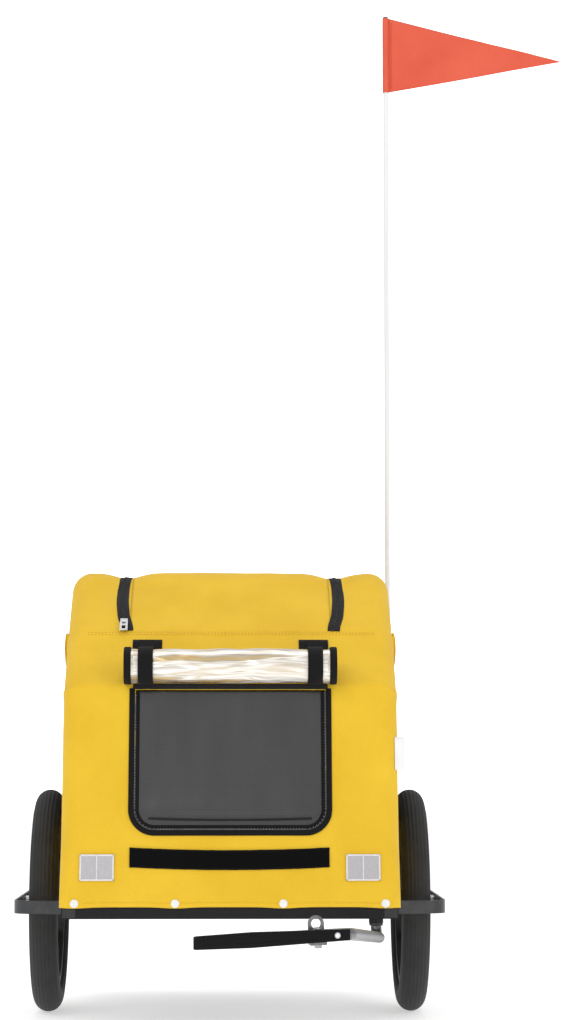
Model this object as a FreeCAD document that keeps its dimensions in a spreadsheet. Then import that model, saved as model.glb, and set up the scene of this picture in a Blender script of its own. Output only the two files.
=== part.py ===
import FreeCAD, Part
import os
import math
import Sketcher
from FreeCAD import Vector as V, Placement, Rotation

# Small two-wheel bicycle trailer with a fabric cabin on a square-tube base, millimetres.
# Trailer coordinates: x to the trailer's left, y from the front of the base (y = 0) to the rear,
# z up from the ground.  Everything is moved by (off_x, off_y) so that the row's origin lies on the
# ground under the middle of the overall box.

doc = FreeCAD.newDocument("BicycleTrailer")
sheet = doc.addObject("Spreadsheet::Sheet", "Dims")
CELLS = [
    ("off_x", -110.0), ("off_y", -65.72),
    ("wheel_rad", 159.0), ("tyre_wid", 40.0), ("tyre_sec", 34.0), ("wheel_x", 261.0), ("axle_y", 380.0),
    ("axle_rad", 4.0), ("hub_rad", 15.0), ("hub_wid", 46.0), ("bush_rad", 7.0),
    ("rail", 20.0), ("rail_wall", 1.5), ("rail_out", 221.2), ("rail_low", 154.0), ("rail_len", 694.0), ("rail_front", 3.0),
    ("cab_half", 224.0), ("cloth", 2.5), ("cab_len", 700.0), ("hem", 168.5), ("shoulder", 28.0),
    ("guard_out", 299.0), ("guard_hgt", 18.0), ("guard_thk", 3.0), ("guard_low", 150.0), ("guard_reach", 200.0),
    ("hoop_rad", 8.0), ("hoop_wall", 1.2), ("hoop_x", 210.6),
    ("fh_piv_y", 150.0), ("fh_piv_z", 200.0), ("fh_top_y", 268.0), ("fh_top_z", 607.0),
    ("rh_piv_y", 610.0), ("rh_piv_z", 200.0), ("rh_top_y", 545.0), ("rh_top_z", 607.0),
    ("bolt_rad", 3.0), ("door_half", 128.0), ("door_lo", 90.0), ("door_hi", 281.5), ("door_crn", 28.0),
    ("roll_rad", 24.0), ("roll_len", 277.0), ("roll_y", 37.0), ("roll_z", 486.6),
    ("strap_x", 113.0), ("strap_wid", 20.0),
    ("hatch_half", 138.0), ("zip_wid", 16.0),
    ("mast_rad", 4.0), ("mast_x", 245.0), ("mast_y", 625.0), ("mast_top", 1538.0), ("mast_low", 130.0), ("mast_split", 640.0),
    ("flag_hgt", 123.0), ("flag_len", 282.0), ("arm_rad", 7.0), ("arm_wall", 1.5), ("arm_x", 192.0), ("arm_y", 13.0),
    ("eye_rad", 5.5), ("stud_rad", 5.5), ("stud_hgt", 2.6),
    ("refl_wid", 44.0), ("refl_hgt", 34.0), ("refl_thk", 2.5), ("grip_wid", 263.0), ("grip_hgt", 26.0), ("grip_thk", 1.5),
]
D = {}
for i, (alias, value) in enumerate(CELLS, start=1):
    sheet.set("A%d" % i, alias)
    sheet.set("B%d" % i, repr(value))
    sheet.setAlias("B%d" % i, alias)
    D[alias] = value
doc.recompute()
OFF = V(D["off_x"], D["off_y"], 0)
NODES = []
count = [0]


def tmp(stem):
    count[0] += 1
    return "%s%03d" % (stem, count[0])


def keep(obj, label):
    obj.Label = label
    NODES.append(obj)
    return obj


def place(obj, pos, rot=None):
    obj.Placement = Placement(V(*pos) + OFF, rot or Rotation())
    return obj


def bind(obj, exprs):
    for prop, e in exprs.items():
        obj.setExpression(prop, e)
    return obj


def box(pos, lx, ly, lz, rot=None):
    o = doc.addObject("Part::Box", tmp("Block"))
    bind(o, {"Length": lx, "Width": ly, "Height": lz})
    return place(o, pos, rot)


def cyl(pos, r, length, rot=None):
    o = doc.addObject("Part::Cylinder", tmp("Round"))
    bind(o, {"Radius": r, "Height": length})
    return place(o, pos, rot)


def cut(base, *tools):
    for t in tools:
        c = doc.addObject("Part::Cut", tmp("Cut"))
        c.Base, c.Tool = base, t
        base = c
    return base


def fuse(*items):
    f = doc.addObject("Part::MultiFuse", tmp("Fuse"))
    f.Shapes = list(items)
    return f


def group(*items):
    g = doc.addObject("Part::Compound", tmp("Set"))
    g.Links = list(items)
    return g


def solid(shape, label=None):
    o = doc.addObject("Part::Feature", tmp("Form"))
    o.Shape = shape
    o.Placement = Placement(OFF, Rotation()).multiply(o.Placement)
    return keep(o, label) if label else o


ALONG_X = Rotation(V(0, 1, 0), 90)     # local +Z to +X
ALONG_Y = Rotation(V(1, 0, 0), -90)    # local +Z to +Y


def pad(label, outer, length, pos, rot, holes=()):
    """PartDesign body: a rectangle or polygon sketch padded, sizes read from sheet expressions."""
    body = doc.addObject("PartDesign::Body", tmp("Body"))
    plane = [f for f in body.Origin.OriginFeatures if f.Role == "XY_Plane"][0]
    sk = body.newObject("Sketcher::SketchObject", tmp("Sketch"))
    sk.AttachmentSupport = [(plane, "")]
    sk.MapMode = "FlatFace"
    w, h, ew, eh = outer
    p = [V(-w / 2, 0, 0), V(w / 2, 0, 0), V(w / 2, h, 0), V(-w / 2, h, 0)]
    for a in range(4):
        sk.addGeometry(Part.LineSegment(p[a], p[(a + 1) % 4]), False)
    for a in range(4):
        sk.addConstraint(Sketcher.Constraint("Coincident", a, 2, (a + 1) % 4, 1))
    sk.addConstraint(Sketcher.Constraint("Horizontal", 0))
    sk.addConstraint(Sketcher.Constraint("Vertical", 1))
    sk.addConstraint(Sketcher.Constraint("Horizontal", 2))
    sk.addConstraint(Sketcher.Constraint("Vertical", 3))
    sk.addConstraint(Sketcher.Constraint("Symmetric", 0, 1, 0, 2, -1, 1))
    cw = sk.addConstraint(Sketcher.Constraint("DistanceX", 0, 1, 0, 2, w))
    ch = sk.addConstraint(Sketcher.Constraint("DistanceY", 1, 1, 1, 2, h))
    sk.setExpression("Constraints[%d]" % cw, ew)
    sk.setExpression("Constraints[%d]" % ch, eh)
    for (cx, cy, r, er) in holes:
        g = sk.addGeometry(Part.Circle(V(cx, cy, 0), V(0, 0, 1), r), False)
        cr = sk.addConstraint(Sketcher.Constraint("Radius", g, r))
        sk.addConstraint(Sketcher.Constraint("DistanceX", -1, 1, g, 3, cx) if abs(cx) > 1e-6 else Sketcher.Constraint("PointOnObject", g, 3, -2))
        sk.addConstraint(Sketcher.Constraint("DistanceY", -1, 1, g, 3, cy))
        sk.setExpression("Constraints[%d]" % cr, er)
    f = body.newObject("PartDesign::Pad", tmp("Pad"))
    f.Profile = sk
    f.setExpression("Length", length)
    place(body, pos, rot)
    return keep(body, label) if label else body


def arc_wire(points, radii):
    """Straight runs joined by tangent arcs."""
    edges, last = [], V(*points[0])
    for i in range(1, len(points) - 1):
        a, b, c = V(*points[i - 1]), V(*points[i]), V(*points[i + 1])
        d1, d2 = (a - b).normalize(), (c - b).normalize()
        half = d1.getAngle(d2) / 2
        r = radii[i - 1]
        t = r / math.tan(half)
        s, e = b + d1 * t, b + d2 * t
        m = b + (d1 + d2).normalize() * (r / math.sin(half) - r)
        edges += [Part.LineSegment(last, s).toShape(), Part.Arc(s, m, e).toShape()]
        last = e
    edges.append(Part.LineSegment(last, V(*points[-1])).toShape())
    return Part.Wire(edges)


def tube(points, radii, r, wall):
    path = arc_wire(points, radii)
    d = (V(*points[1]) - V(*points[0])).normalize()

    def sweep(rad):
        ring = Part.Wire([Part.makeCircle(rad, V(*points[0]), d)])
        return path.makePipeShell([ring], True, True)

    outer = sweep(r)
    if abs(outer.Volume / (math.pi * r * r * path.Length) - 1) > 0.02:
        raise SystemExit("a bent tube came out wrong")
    return outer.cut(sweep(r - wall)) if wall else outer


def prism(pts, x0, x1):
    """A y, z outline between two x planes."""
    w = Part.makePolygon([V(x0, y, z) for y, z in pts] + [V(x0, *pts[0])])
    return Part.Face(w).extrude(V(x1 - x0, 0, 0))


# ---------------------------------------------------------------- base frame
S = D
for side, sx in (("left", 1), ("right", -1)):
    x0 = S["rail_out"] - S["rail"] if sx > 0 else -S["rail_out"]
    bar = box((x0, S["rail_front"], S["rail_low"]), "Dims.rail", "Dims.rail_len", "Dims.rail")
    core = box((x0 + S["rail_wall"], S["rail_front"] - 1, S["rail_low"] + S["rail_wall"]), "Dims.rail - 2 * Dims.rail_wall",
               "Dims.rail_len + 2", "Dims.rail - 2 * Dims.rail_wall")
    hole = cyl((x0 - 2, S["axle_y"], S["wheel_rad"]), "Dims.axle_rad", "Dims.rail + 4", ALONG_X)
    tools = [core, hole]
    for dy in (-1, 1):
        tools.append(cyl((x0 - 2, S["axle_y"] + dy * (S["guard_reach"] + 14), S["guard_low"] + 10.5), "Dims.bolt_rad", "Dims.rail + 4", ALONG_X))
    keep(cut(bar, *tools), "side_rail_" + side)
inner = 2 * (S["rail_out"] - S["rail"])
for name, y in (("front_rail", S["rail_front"]), ("rear_rail", S["rail_front"] + S["rail_len"] - S["rail"]), ("middle_rail", 470.0)):
    bar = box((-inner / 2, y, S["rail_low"]), "2 * (Dims.rail_out - Dims.rail)", "Dims.rail", "Dims.rail")
    core = box((-inner / 2 - 1, y + S["rail_wall"], S["rail_low"] + S["rail_wall"]), "2 * (Dims.rail_out - Dims.rail) + 2",
               "Dims.rail - 2 * Dims.rail_wall", "Dims.rail - 2 * Dims.rail_wall")
    tools = [core]
    if name == "front_rail":
        # vertical hole for the tow arm's upright leg
        tools.append(cyl((S["arm_x"], S["arm_y"], S["rail_low"] - 2), "Dims.arm_rad + 0.05", "Dims.rail + 4"))
    keep(cut(bar, *tools), name)
plugs = []
for sx in (1, -1):
    x0 = S["rail_out"] - S["rail"] if sx > 0 else -S["rail_out"]
    for y in (S["rail_front"], S["rail_front"] + S["rail_len"] - 9):
        plugs.append(box((x0 + S["rail_wall"], y, S["rail_low"] + S["rail_wall"]), "Dims.rail - 2 * Dims.rail_wall", "9", "Dims.rail - 2 * Dims.rail_wall"))
keep(group(*plugs), "rail_end_plugs")
keep(box((-inner / 2 + 3, 24, S["rail_low"] + S["rail"]), "2 * (Dims.rail_out - Dims.rail) - 6", "650", "3"), "floor_panel")

# ---------------------------------------------------------------- cabin hoops
HR, HX = S["hoop_rad"], S["hoop_x"]
plates, bolts = [], []
for name, py, pz, ty, tz in (("front_hoop", S["fh_piv_y"], S["fh_piv_z"], S["fh_top_y"], S["fh_top_z"]),
                             ("rear_hoop", S["rh_piv_y"], S["rh_piv_z"], S["rh_top_y"], S["rh_top_z"])):
    u = V(0, ty - py, tz - pz).normalize()
    foot = V(0, py, pz) - u * 12
    pts = [(HX, foot.y, foot.z), (HX, ty, tz), (-HX, ty, tz), (-HX, foot.y, foot.z)]
    h = tube(pts, [42, 42], HR, S["hoop_wall"])
    h = h.cut(Part.makeCylinder(S["bolt_rad"] + 0.05, 600, V(-300, py, pz), V(1, 0, 0)))
    solid(h, name)
    for sx in (1, -1):
        a = HX - HR - 3.2
        x0 = a if sx > 0 else -a - 2.8
        rail_top = S["rail_low"] + S["rail"]
        p = box((x0, py - 12, rail_top), "2.8", "24", "%f" % (pz + 12 - rail_top))
        # a foot that stands on the rail, clear of the floor panel
        holeb = cyl((x0 - 1, py, pz), "Dims.bolt_rad", "5", ALONG_X)
        foot_y = box((x0 if sx > 0 else x0 - 14 + 2.8, py - 12, rail_top), "14", "24", "2.5")
        plates.append(cut(fuse(p, foot_y), holeb))
        # pivot bolt with a low round head outside and a nut inside
        if sx > 0:
            head = cyl((HX + HR + 0.5, py, pz), "5.5", "2", ALONG_X)
            shank = cyl((x0 - 1, py, pz), "Dims.bolt_rad", "%f" % (HX + HR + 0.5 - x0 + 1), ALONG_X)
            nut = cyl((x0 - 4.5, py, pz), "5", "4.5", ALONG_X)
        else:
            head = cyl((-HX - HR - 2.5, py, pz), "5.5", "2", ALONG_X)
            shank = cyl((-HX - HR - 0.5, py, pz), "Dims.bolt_rad", "%f" % (HX + HR + 0.5 - a + 1), ALONG_X)
            nut = cyl((-a, py, pz), "5", "4.5", ALONG_X)
        bolts.append(fuse(head, shank, nut))
keep(group(*plates), "hoop_brackets")
keep(group(*bolts), "hoop_pivot_bolts")

# ---------------------------------------------------------------- cover panels
T, HALF = S["cloth"], S["cab_half"]
OUT = [(0, S["hem"]), (0, 180), (50, 462), (130, 537), (250, 626), (560, 626), (640, 560), (S["cab_len"], 250), (S["cab_len"], S["hem"])]
BENDS = [20, 10, 60, 70, 60, 60, 60]


def outline(grow):
    """Side view of the cabin, its bends rounded, grown outwards by some thickness; open along the hem."""
    w = arc_wire([(0, y, z) for y, z in OUT], BENDS)
    base = Part.LineSegment(V(0, OUT[-1][0], S["hem"] - 60), V(0, 0, S["hem"] - 60)).toShape()
    legs = [Part.LineSegment(V(0, OUT[-1][0], S["hem"]), V(0, OUT[-1][0], S["hem"] - 60)).toShape(), base,
            Part.LineSegment(V(0, 0, S["hem"] - 60), V(0, 0, S["hem"])).toShape()]
    f = Part.Face(Part.Wire(w.Edges + legs))
    return f.makeOffset2D(grow) if abs(grow) > 1e-6 else f


def dome(grow):
    """The cabin as a filled block, with its long upper edges rounded."""
    f = outline(grow)
    half = HALF + grow
    f.translate(V(-half, 0, 0))
    b = f.extrude(V(2 * half, 0, 0))
    edges = []
    for e in b.Edges:
        c = e.CenterOfMass
        if abs(abs(c.x) - half) < 0.01 and e.BoundBox.ZMax > 200:
            edges.append(e)
    try:
        r = b.makeFillet(S["shoulder"] + grow, edges)
        if r.isValid() and r.Solids:
            return r
    except Exception as err:
        print("edges left square:", err)
    return b


SHELL = dome(0).cut(dome(-T)).cut(Part.makeBox(1000, 1400, 200, V(-500, -300, S["hem"] - 200)))
print("shell", SHELL.Volume, SHELL.isValid(), len(SHELL.Solids))


def zone(x0, x1, y0, y1, z0=0.0, z1=800.0):
    return Part.makeBox(x1 - x0, y1 - y0, z1 - z0, V(x0, y0, z0))


def band(y0, y1, x0, x1, lift0=0.0, lift1=None):
    """A strip of the cover, or of something laid on it, between two x planes and two y planes."""
    a, b = (-T, 0.0) if lift1 is None else (lift0, lift1)
    o, n = outline(b), outline(a)
    o.translate(V(x0, 0, 0))
    n.translate(V(x0, 0, 0))
    d = V(x1 - x0, 0, 0)
    r = o.extrude(d).cut(n.extrude(d)).common(zone(x0 - 1, x1 + 1, y0, y1, S["hem"]))
    return r


FACE_LEN = math.hypot(50, 462 - 180)
ALPHA = math.degrees(math.atan2(462 - 180, 50))
FACE_ROT = Rotation(V(1, 0, 0), ALPHA)
FACE_POS = V(0, 0, 180)


def on_face(shape):
    shape = shape.copy()
    shape.Placement = Placement(FACE_POS, FACE_ROT).multiply(shape.Placement)
    return shape


def door_outline(half, lo, hi, crn):
    w = arc_wire([(-half, hi, 0), (-half, lo, 0), (half, lo, 0), (half, hi, 0)], [crn, crn])
    top = Part.LineSegment(V(half, hi, 0), V(-half, hi, 0)).toShape()
    return Part.Face(Part.Wire(w.Edges + [top]))


def face_prism(face, z0, z1):
    f = face.copy()
    f.translate(V(0, 0, z0))
    return on_face(f.extrude(V(0, 0, z1 - z0)))


EDGE = HALF - S["shoulder"]
HH = S["hatch_half"]
SEAM, HINGE, BACK = 130.0, 540.0, 600.0
hole = face_prism(door_outline(S["door_half"], S["door_lo"], S["door_hi"], S["door_crn"]), -12, 12)
front = SHELL.common(zone(-EDGE, EDGE, -50, SEAM)).cut(hole)
solid(front, "cover_front")
solid(SHELL.common(zone(HH + 0.4, EDGE, SEAM, HINGE)), "cover_roof_left")
solid(SHELL.common(zone(-EDGE, -HH - 0.4, SEAM, HINGE)), "cover_roof_right")
solid(SHELL.common(zone(-HH, HH, SEAM + 0.5, HINGE - 0.6)), "roof_hatch")
solid(SHELL.common(zone(-EDGE, EDGE, HINGE, BACK)), "cover_roof_rear")
solid(SHELL.common(zone(-EDGE, EDGE, BACK, 900)), "cover_rear")
win = [(190, 290), (215, 480), (500, 480), (515, 290)]


def window(grow, x0, x1):
    cy, cz = 354.0, 385.0
    pts = []
    for y, z in win:
        pts.append((y + grow * (1 if y > cy else -1), z + grow * (1 if z > cz else -1)))
    mid = (x0, (pts[3][0] + pts[0][0]) / 2, pts[0][1])
    w = arc_wire([mid] + [(x0, y, z) for y, z in pts] + [mid], [30, 30, 30, 30])
    return Part.Face(w).extrude(V(x1 - x0, 0, 0))


binds, flaps = [], []
for side, sx in (("left", 1), ("right", -1)):
    a, b = sorted((sx * (HALF - T), sx * HALF))
    c, d = sorted((sx * EDGE, sx * (HALF + 5)))
    wall = SHELL.common(zone(c, d, -50, 900)).cut(window(0, a - 5, b + 5))
    # the cloth opens round the square ends of the side rail
    wall = wall.cut(zone(-HALF + 2.6, HALF - 2.6, S["rail_front"] - 0.3, S["rail_front"] + S["rail_len"] + 0.3, 100, S["rail_low"] + S["rail"] + 0.3))
    solid(wall, "cover_side_" + side)
    solid(window(-0.1, a + 0.5, b - 0.5), "side_window_mesh_" + side)
    c, d = sorted((sx * HALF, sx * (HALF + 2.0)))
    binds.append(solid(window(7, c, d).cut(window(-6, c - 1, d + 1))))
    c, d = sorted((sx * HALF, sx * (HALF + 5.0)))
    flap = Part.makeBox(d - c, 320, 48, V(c, 185, 489.5))
    flap = flap.makeFillet(2.4, [e for e in flap.Edges if e.BoundBox.YLength > 300 and abs(abs(e.CenterOfMass.x) - (HALF + 5.0)) < 0.1])
    flaps.append(solid(flap))
keep(group(*binds), "side_window_bindings")
keep(group(*flaps), "side_flap_rolls")

# door: mesh and a bound edge with its half of the zip, in the front face's plane
mesh_face = door_outline(S["door_half"] - 7.0, S["door_lo"] + 7.0, S["door_hi"] - 7.0, S["door_crn"] - 7.0)
edge_face = door_outline(S["door_half"] - 0.6, S["door_lo"] + 0.6, S["door_hi"] - 0.6, S["door_crn"] - 0.6)
solid(face_prism(mesh_face, -1.8, -0.8), "door_mesh")
solid(face_prism(edge_face, -2.2, 0.0).cut(face_prism(mesh_face, -3, 1)), "door_zip_edge")
ring_out = door_outline(S["door_half"] + 5.0, S["door_lo"] - 5.0, S["door_hi"], S["door_crn"] + 5.0)
ring_in = door_outline(S["door_half"], S["door_lo"], S["door_hi"] + 1, S["door_crn"])
solid(face_prism(ring_out, 0, 1.2).cut(face_prism(ring_in, -1, 3)), "door_zip_tape")


# trims on the front face
def face_place(x, s, z=0.0):
    return FACE_POS + FACE_ROT.multVec(V(x, s, z))


p = face_place(-1.0, 41.0)
pad("closure_strip", (S["grip_wid"], S["grip_hgt"], "Dims.grip_wid", "Dims.grip_hgt"), "Dims.grip_thk", (p.x, p.y, p.z), FACE_ROT)
patches = []
for sx in (1, -1):
    p = face_place(sx * 175.0, 24.0)
    patches.append(pad(None, (S["refl_wid"], S["refl_hgt"], "Dims.refl_wid", "Dims.refl_hgt"), "Dims.refl_thk", (p.x, p.y, p.z), FACE_ROT))
keep(group(*patches), "reflectors")
keep(box((219.4, 40.0, 348), "16", "0.8", "44", Rotation(V(1, 0, 0), -10.05).multiply(Rotation(V(0, 0, 1), 30))), "blank_tag")

studs = []
for x in (-204, -72, 70, 204):
    studs.append(cyl((x, -S["stud_hgt"], 174.5), "Dims.stud_rad", "Dims.stud_hgt", ALONG_Y))
    studs.append(cyl((x, S["cab_len"], 174.5), "Dims.stud_rad", "Dims.stud_hgt", ALONG_Y))
for sx in (1, -1):
    for y in (14, 120, 300, 460, 640):
        x0 = S["cab_half"] if sx > 0 else -S["cab_half"] - S["stud_hgt"]
        studs.append(cyl((x0, y, 177.0), "Dims.stud_rad", "Dims.stud_hgt", ALONG_X))
keep(group(*studs), "cover_studs")

# rolled clear rain cover with its bound ends, and the two straps that hold it
R = S["roll_rad"]
roll = cyl((-S["roll_len"] / 2, S["roll_y"], S["roll_z"]), "Dims.roll_rad", "Dims.roll_len", ALONG_X)
keep(roll, "rain_cover_roll")
ends = []
for x in (-S["roll_len"] / 2 - 4, S["roll_len"] / 2 - 4):
    ends.append(cut(cyl((x, S["roll_y"], S["roll_z"]), "Dims.roll_rad + 0.8", "8", ALONG_X), cyl((x - 1, S["roll_y"], S["roll_z"]), "Dims.roll_rad", "10", ALONG_X)))
keep(group(*ends), "rain_cover_bindings")
slope = V(0, 80, 75).normalize()
CROT = Rotation(V(1, 0, 0), math.degrees(math.atan2(75, 80)))
loops, tees = [], []
for sx in (1, -1):
    x0 = sx * S["strap_x"] - S["strap_wid"] / 2
    loops.append(cut(cyl((x0, S["roll_y"], S["roll_z"]), "Dims.roll_rad + 1.4", "Dims.strap_wid", ALONG_X),
                     cyl((x0 - 1, S["roll_y"], S["roll_z"]), "Dims.roll_rad + 0.05", "Dims.strap_wid + 2", ALONG_X)))
    base = V(sx * S["strap_x"], 50, 462) + slope * 68
    tees.append(pad(None, (40, 22, "40", "22"), "1.6", (base.x, base.y, base.z), CROT))
keep(group(*loops), "roll_straps")
keep(group(*tees), "strap_patches")

# roof zips: tapes on the shoulders, one slider with a hinged pull
tapes = []
for sx in (1, -1):
    a, b = sorted((sx * (HH + 0.4), sx * (HH + 0.4 + S["zip_wid"])))
    tapes.append(solid(band(SEAM + 2, HINGE, a, b, 0.0, 1.2)))
keep(group(*tapes), "roof_zips")
d_roof = V(0, 120, 89).normalize()
n_roof = V(0, -89, 120).normalize()
RROT = Rotation(V(1, 0, 0), math.degrees(math.atan2(89, 120)))
zp = V(-(HH + 0.4 + 8), 130, 537) + d_roof * 11 + n_roof * 1.2
slider = box((zp.x - 5, zp.y, zp.z), "10", "14", "3", RROT)
post = box((zp.x - 2, 0, 0), "4", "2", "3.2")
q = zp + d_roof * 1.0 + n_roof * 3
post.Placement = Placement(V(zp.x - 2, q.y, q.z) + OFF, RROT)
keep(fuse(slider, post), "roof_zip_slider")
pull = Part.makeBox(11, 22, 1.2).cut(Part.makeBox(4.8, 2.8, 3, V(3.1, 17.6, -1))).cut(Part.makeBox(5, 8, 3, V(3, 4, -1)))
q = zp + d_roof * -17.0 + n_roof * 3.4
o = doc.addObject("Part::Feature", tmp("Form"))
o.Shape = pull
o.Placement = Placement(V(zp.x - 5.5, q.y, q.z) + OFF, RROT)
keep(o, "roof_zip_pull")

# ---------------------------------------------------------------- wheels
AY, WR, WX = S["axle_y"], S["wheel_rad"], S["wheel_x"]
axles, nuts, gb = [], [], []
for side, sx in (("left", 1), ("right", -1)):
    # tyre: a revolved, rounded section
    half, r_in, r_out = S["tyre_wid"] / 2, WR - S["tyre_sec"], WR
    crown = 19.0
    prof = [V(-half + 5, r_in, 0), V(half - 5, r_in, 0), V(half, r_in + 7, 0), V(half, r_out - crown, 0)]
    e = [Part.LineSegment(prof[0], prof[1]).toShape(), Part.LineSegment(prof[1], prof[2]).toShape(), Part.LineSegment(prof[2], prof[3]).toShape(),
         Part.Arc(prof[3], V(0, r_out, 0), V(-half, r_out - crown, 0)).toShape(),
         Part.LineSegment(V(-half, r_out - crown, 0), V(-half, r_in + 7, 0)).toShape(),
         Part.LineSegment(V(-half, r_in + 7, 0), prof[0]).toShape()]
    tyre = Part.Face(Part.Wire(e)).revolve(V(0, 0, 0), V(1, 0, 0), 360)
    tyre.translate(V(sx * WX, AY, WR))
    solid(tyre, "tyre_" + side)
    # moulded rim: a channel ring, six twin spokes and a hub barrel
    rim = Part.makeCylinder(r_in - 0.0, 28, V(-14, 0, 0), V(1, 0, 0)).cut(Part.makeCylinder(r_in - 11, 30, V(-15, 0, 0), V(1, 0, 0)))
    hub = Part.makeCylinder(S["hub_rad"], S["hub_wid"], V(-S["hub_wid"] / 2, 0, 0), V(1, 0, 0))
    spokes = []
    for k in range(6):
        sp = Part.makeBox(12, r_in - 8 - (S["hub_rad"] - 4), 16, V(-6, S["hub_rad"] - 4, -8))
        sp.rotate(V(0, 0, 0), V(1, 0, 0), 60 * k + 30)
        spokes.append(sp)
    wheel = rim.multiFuse([hub] + spokes).removeSplitter()
    wheel = wheel.cut(Part.makeCylinder(S["bush_rad"], S["hub_wid"] + 4, V(-S["hub_wid"] / 2 - 2, 0, 0), V(1, 0, 0)))
    wheel.translate(V(sx * WX, AY, WR))
    solid(wheel, "wheel_rim_" + side)
    bushes = []
    for end in (-1, 1):
        x0 = sx * WX + (S["hub_wid"] / 2 - 12 if end > 0 else -S["hub_wid"] / 2)
        bushes.append(cut(cyl((x0, AY, WR), "Dims.bush_rad", "12", ALONG_X), cyl((x0 - 1, AY, WR), "Dims.axle_rad + 0.05", "14", ALONG_X)))
    keep(group(*bushes), "hub_bushes_" + side)
    # axle from the rail's inside to the guard's outside
    x0 = S["rail_out"] - S["rail"] - 6 if sx > 0 else -(S["guard_out"] + 3)
    axles.append(cyl((x0, AY, WR), "Dims.axle_rad - 0.02", "%f" % (S["guard_out"] + 3 - (S["rail_out"] - S["rail"] - 6)), ALONG_X))
    for x, w in ((S["rail_out"] - S["rail"] - 5, 5), (S["guard_out"], 4)):
        xa = x if sx > 0 else -x - w
        hexa = doc.addObject("Part::Prism", tmp("Hex"))
        hexa.Polygon = 6
        bind(hexa, {"Circumradius": "7.5", "Height": "%f" % w})
        place(hexa, (xa, AY, WR), ALONG_X)
        nuts.append(cut(hexa, cyl((xa - 1, AY, WR), "Dims.axle_rad", "%f" % (w + 2), ALONG_X)))
    # spacers each side of the hub
    for xa, xb in ((S["rail_out"] + 0.1, WX - S["hub_wid"] / 2 - 0.3), (WX + S["hub_wid"] / 2 + 0.3, S["guard_out"] - S["guard_thk"])):
        xs = xa if sx > 0 else -xb
        nuts.append(cut(cyl((xs, AY, WR), "Dims.bush_rad - 0.5", "%f" % (xb - xa), ALONG_X), cyl((xs - 1, AY, WR), "Dims.axle_rad", "%f" % (xb - xa + 2), ALONG_X)))
    # flat-bar guard that carries the axle's outer end
    gx, gr, t, ro = S["guard_out"], S["guard_reach"], S["guard_thk"], S["rail_out"]
    path = [(ro + t / 2, AY - gr - 28, 0), (ro + t / 2, AY - gr, 0), (gx - t / 2, AY - gr + 10, 0), (gx - t / 2, AY + gr - 10, 0), (ro + t / 2, AY + gr, 0), (ro + t / 2, AY + gr + 28, 0)]
    wire = arc_wire(path, [6, 26, 26, 6])
    sec = Part.makePolygon([V(ro, AY - gr - 28, 0), V(ro + t, AY - gr - 28, 0), V(ro + t, AY - gr - 28, S["guard_hgt"]), V(ro, AY - gr - 28, S["guard_hgt"]), V(ro, AY - gr - 28, 0)])
    g = wire.makePipeShell([sec], True, False)
    g.translate(V(0, 0, S["guard_low"]))
    g = g.cut(Part.makeCylinder(S["axle_rad"], 40, V(gx - 20, AY, WR), V(1, 0, 0)))
    for dy in (-1, 1):
        g = g.cut(Part.makeCylinder(S["bolt_rad"], 20, V(ro - 5, AY + dy * (gr + 14), S["guard_low"] + 10.5), V(1, 0, 0)))
    if sx < 0:
        g = g.mirror(V(0, 0, 0), V(1, 0, 0))
    solid(g, "wheel_guard_" + side)
    for dy in (-1, 1):
        yb, zb = AY + dy * (gr + 14), S["guard_low"] + 10.5
        length = S["rail"] + t
        xs = ro - S["rail"] if sx > 0 else -ro - t
        shank = cyl((xs, yb, zb), "Dims.bolt_rad - 0.02", "%f" % length, ALONG_X)
        head = cyl((ro + t if sx > 0 else -ro - t - 3, yb, zb), "6", "3", ALONG_X)
        nut = cyl((ro - S["rail"] - 4 if sx > 0 else -(ro - S["rail"]), yb, zb), "5.5", "4", ALONG_X)
        gb.append(fuse(shank, head, nut))
keep(group(*axles), "axles")
keep(group(*nuts), "axle_nuts_and_spacers")
keep(group(*gb), "guard_bolts")

# ---------------------------------------------------------------- flag mast
MX, MY, ML = S["mast_x"], S["mast_y"], S["mast_low"]
cup = cut(cyl((MX, MY, ML - 4), "Dims.mast_rad + 2.5", "44"), cyl((MX, MY, ML), "Dims.mast_rad + 0.05", "60"))
lug = cut(box((S["rail_out"], MY - 8, 154.5), "%f" % (MX - S["rail_out"]), "16", "12"), cyl((MX, MY, 100), "Dims.mast_rad + 1.5", "100"))
keep(fuse(cup, lug), "mast_socket")
keep(cut(cyl((MX, MY, ML), "Dims.mast_rad", "Dims.mast_split - Dims.mast_low"), cyl((MX, MY, S["mast_split"] - 30), "2.4", "31")), "mast_lower_tube")
keep(fuse(cyl((MX, MY, S["mast_split"]), "Dims.mast_rad", "Dims.mast_top - Dims.mast_split - 2"), cyl((MX, MY, S["mast_split"] - 29), "2.4", "31")), "mast_upper_tube")
keep(cyl((MX, MY, S["mast_top"] - 2), "Dims.mast_rad", "2"), "mast_tip_cap")
fz = S["mast_top"] - S["flag_hgt"]
hem = Part.makeCylinder(S["mast_rad"] + 0.9, S["flag_hgt"] - 2.0, V(MX, MY, fz)).cut(Part.makeCylinder(S["mast_rad"] + 0.02, S["flag_hgt"] + 5, V(MX, MY, fz - 2)))
x1 = MX + S["mast_rad"] + 0.5
tri = Part.Face(Part.makePolygon([V(x1, MY - 0.5, fz), V(MX - S["mast_rad"] + S["flag_len"], MY - 0.5, fz + 0.42 * S["flag_hgt"]), V(x1, MY - 0.5, fz + S["flag_hgt"] - 2.0), V(x1, MY - 0.5, fz)])).extrude(V(0, 1.0, 0))
solid(hem.fuse(tri).removeSplitter(), "flag")

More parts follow.
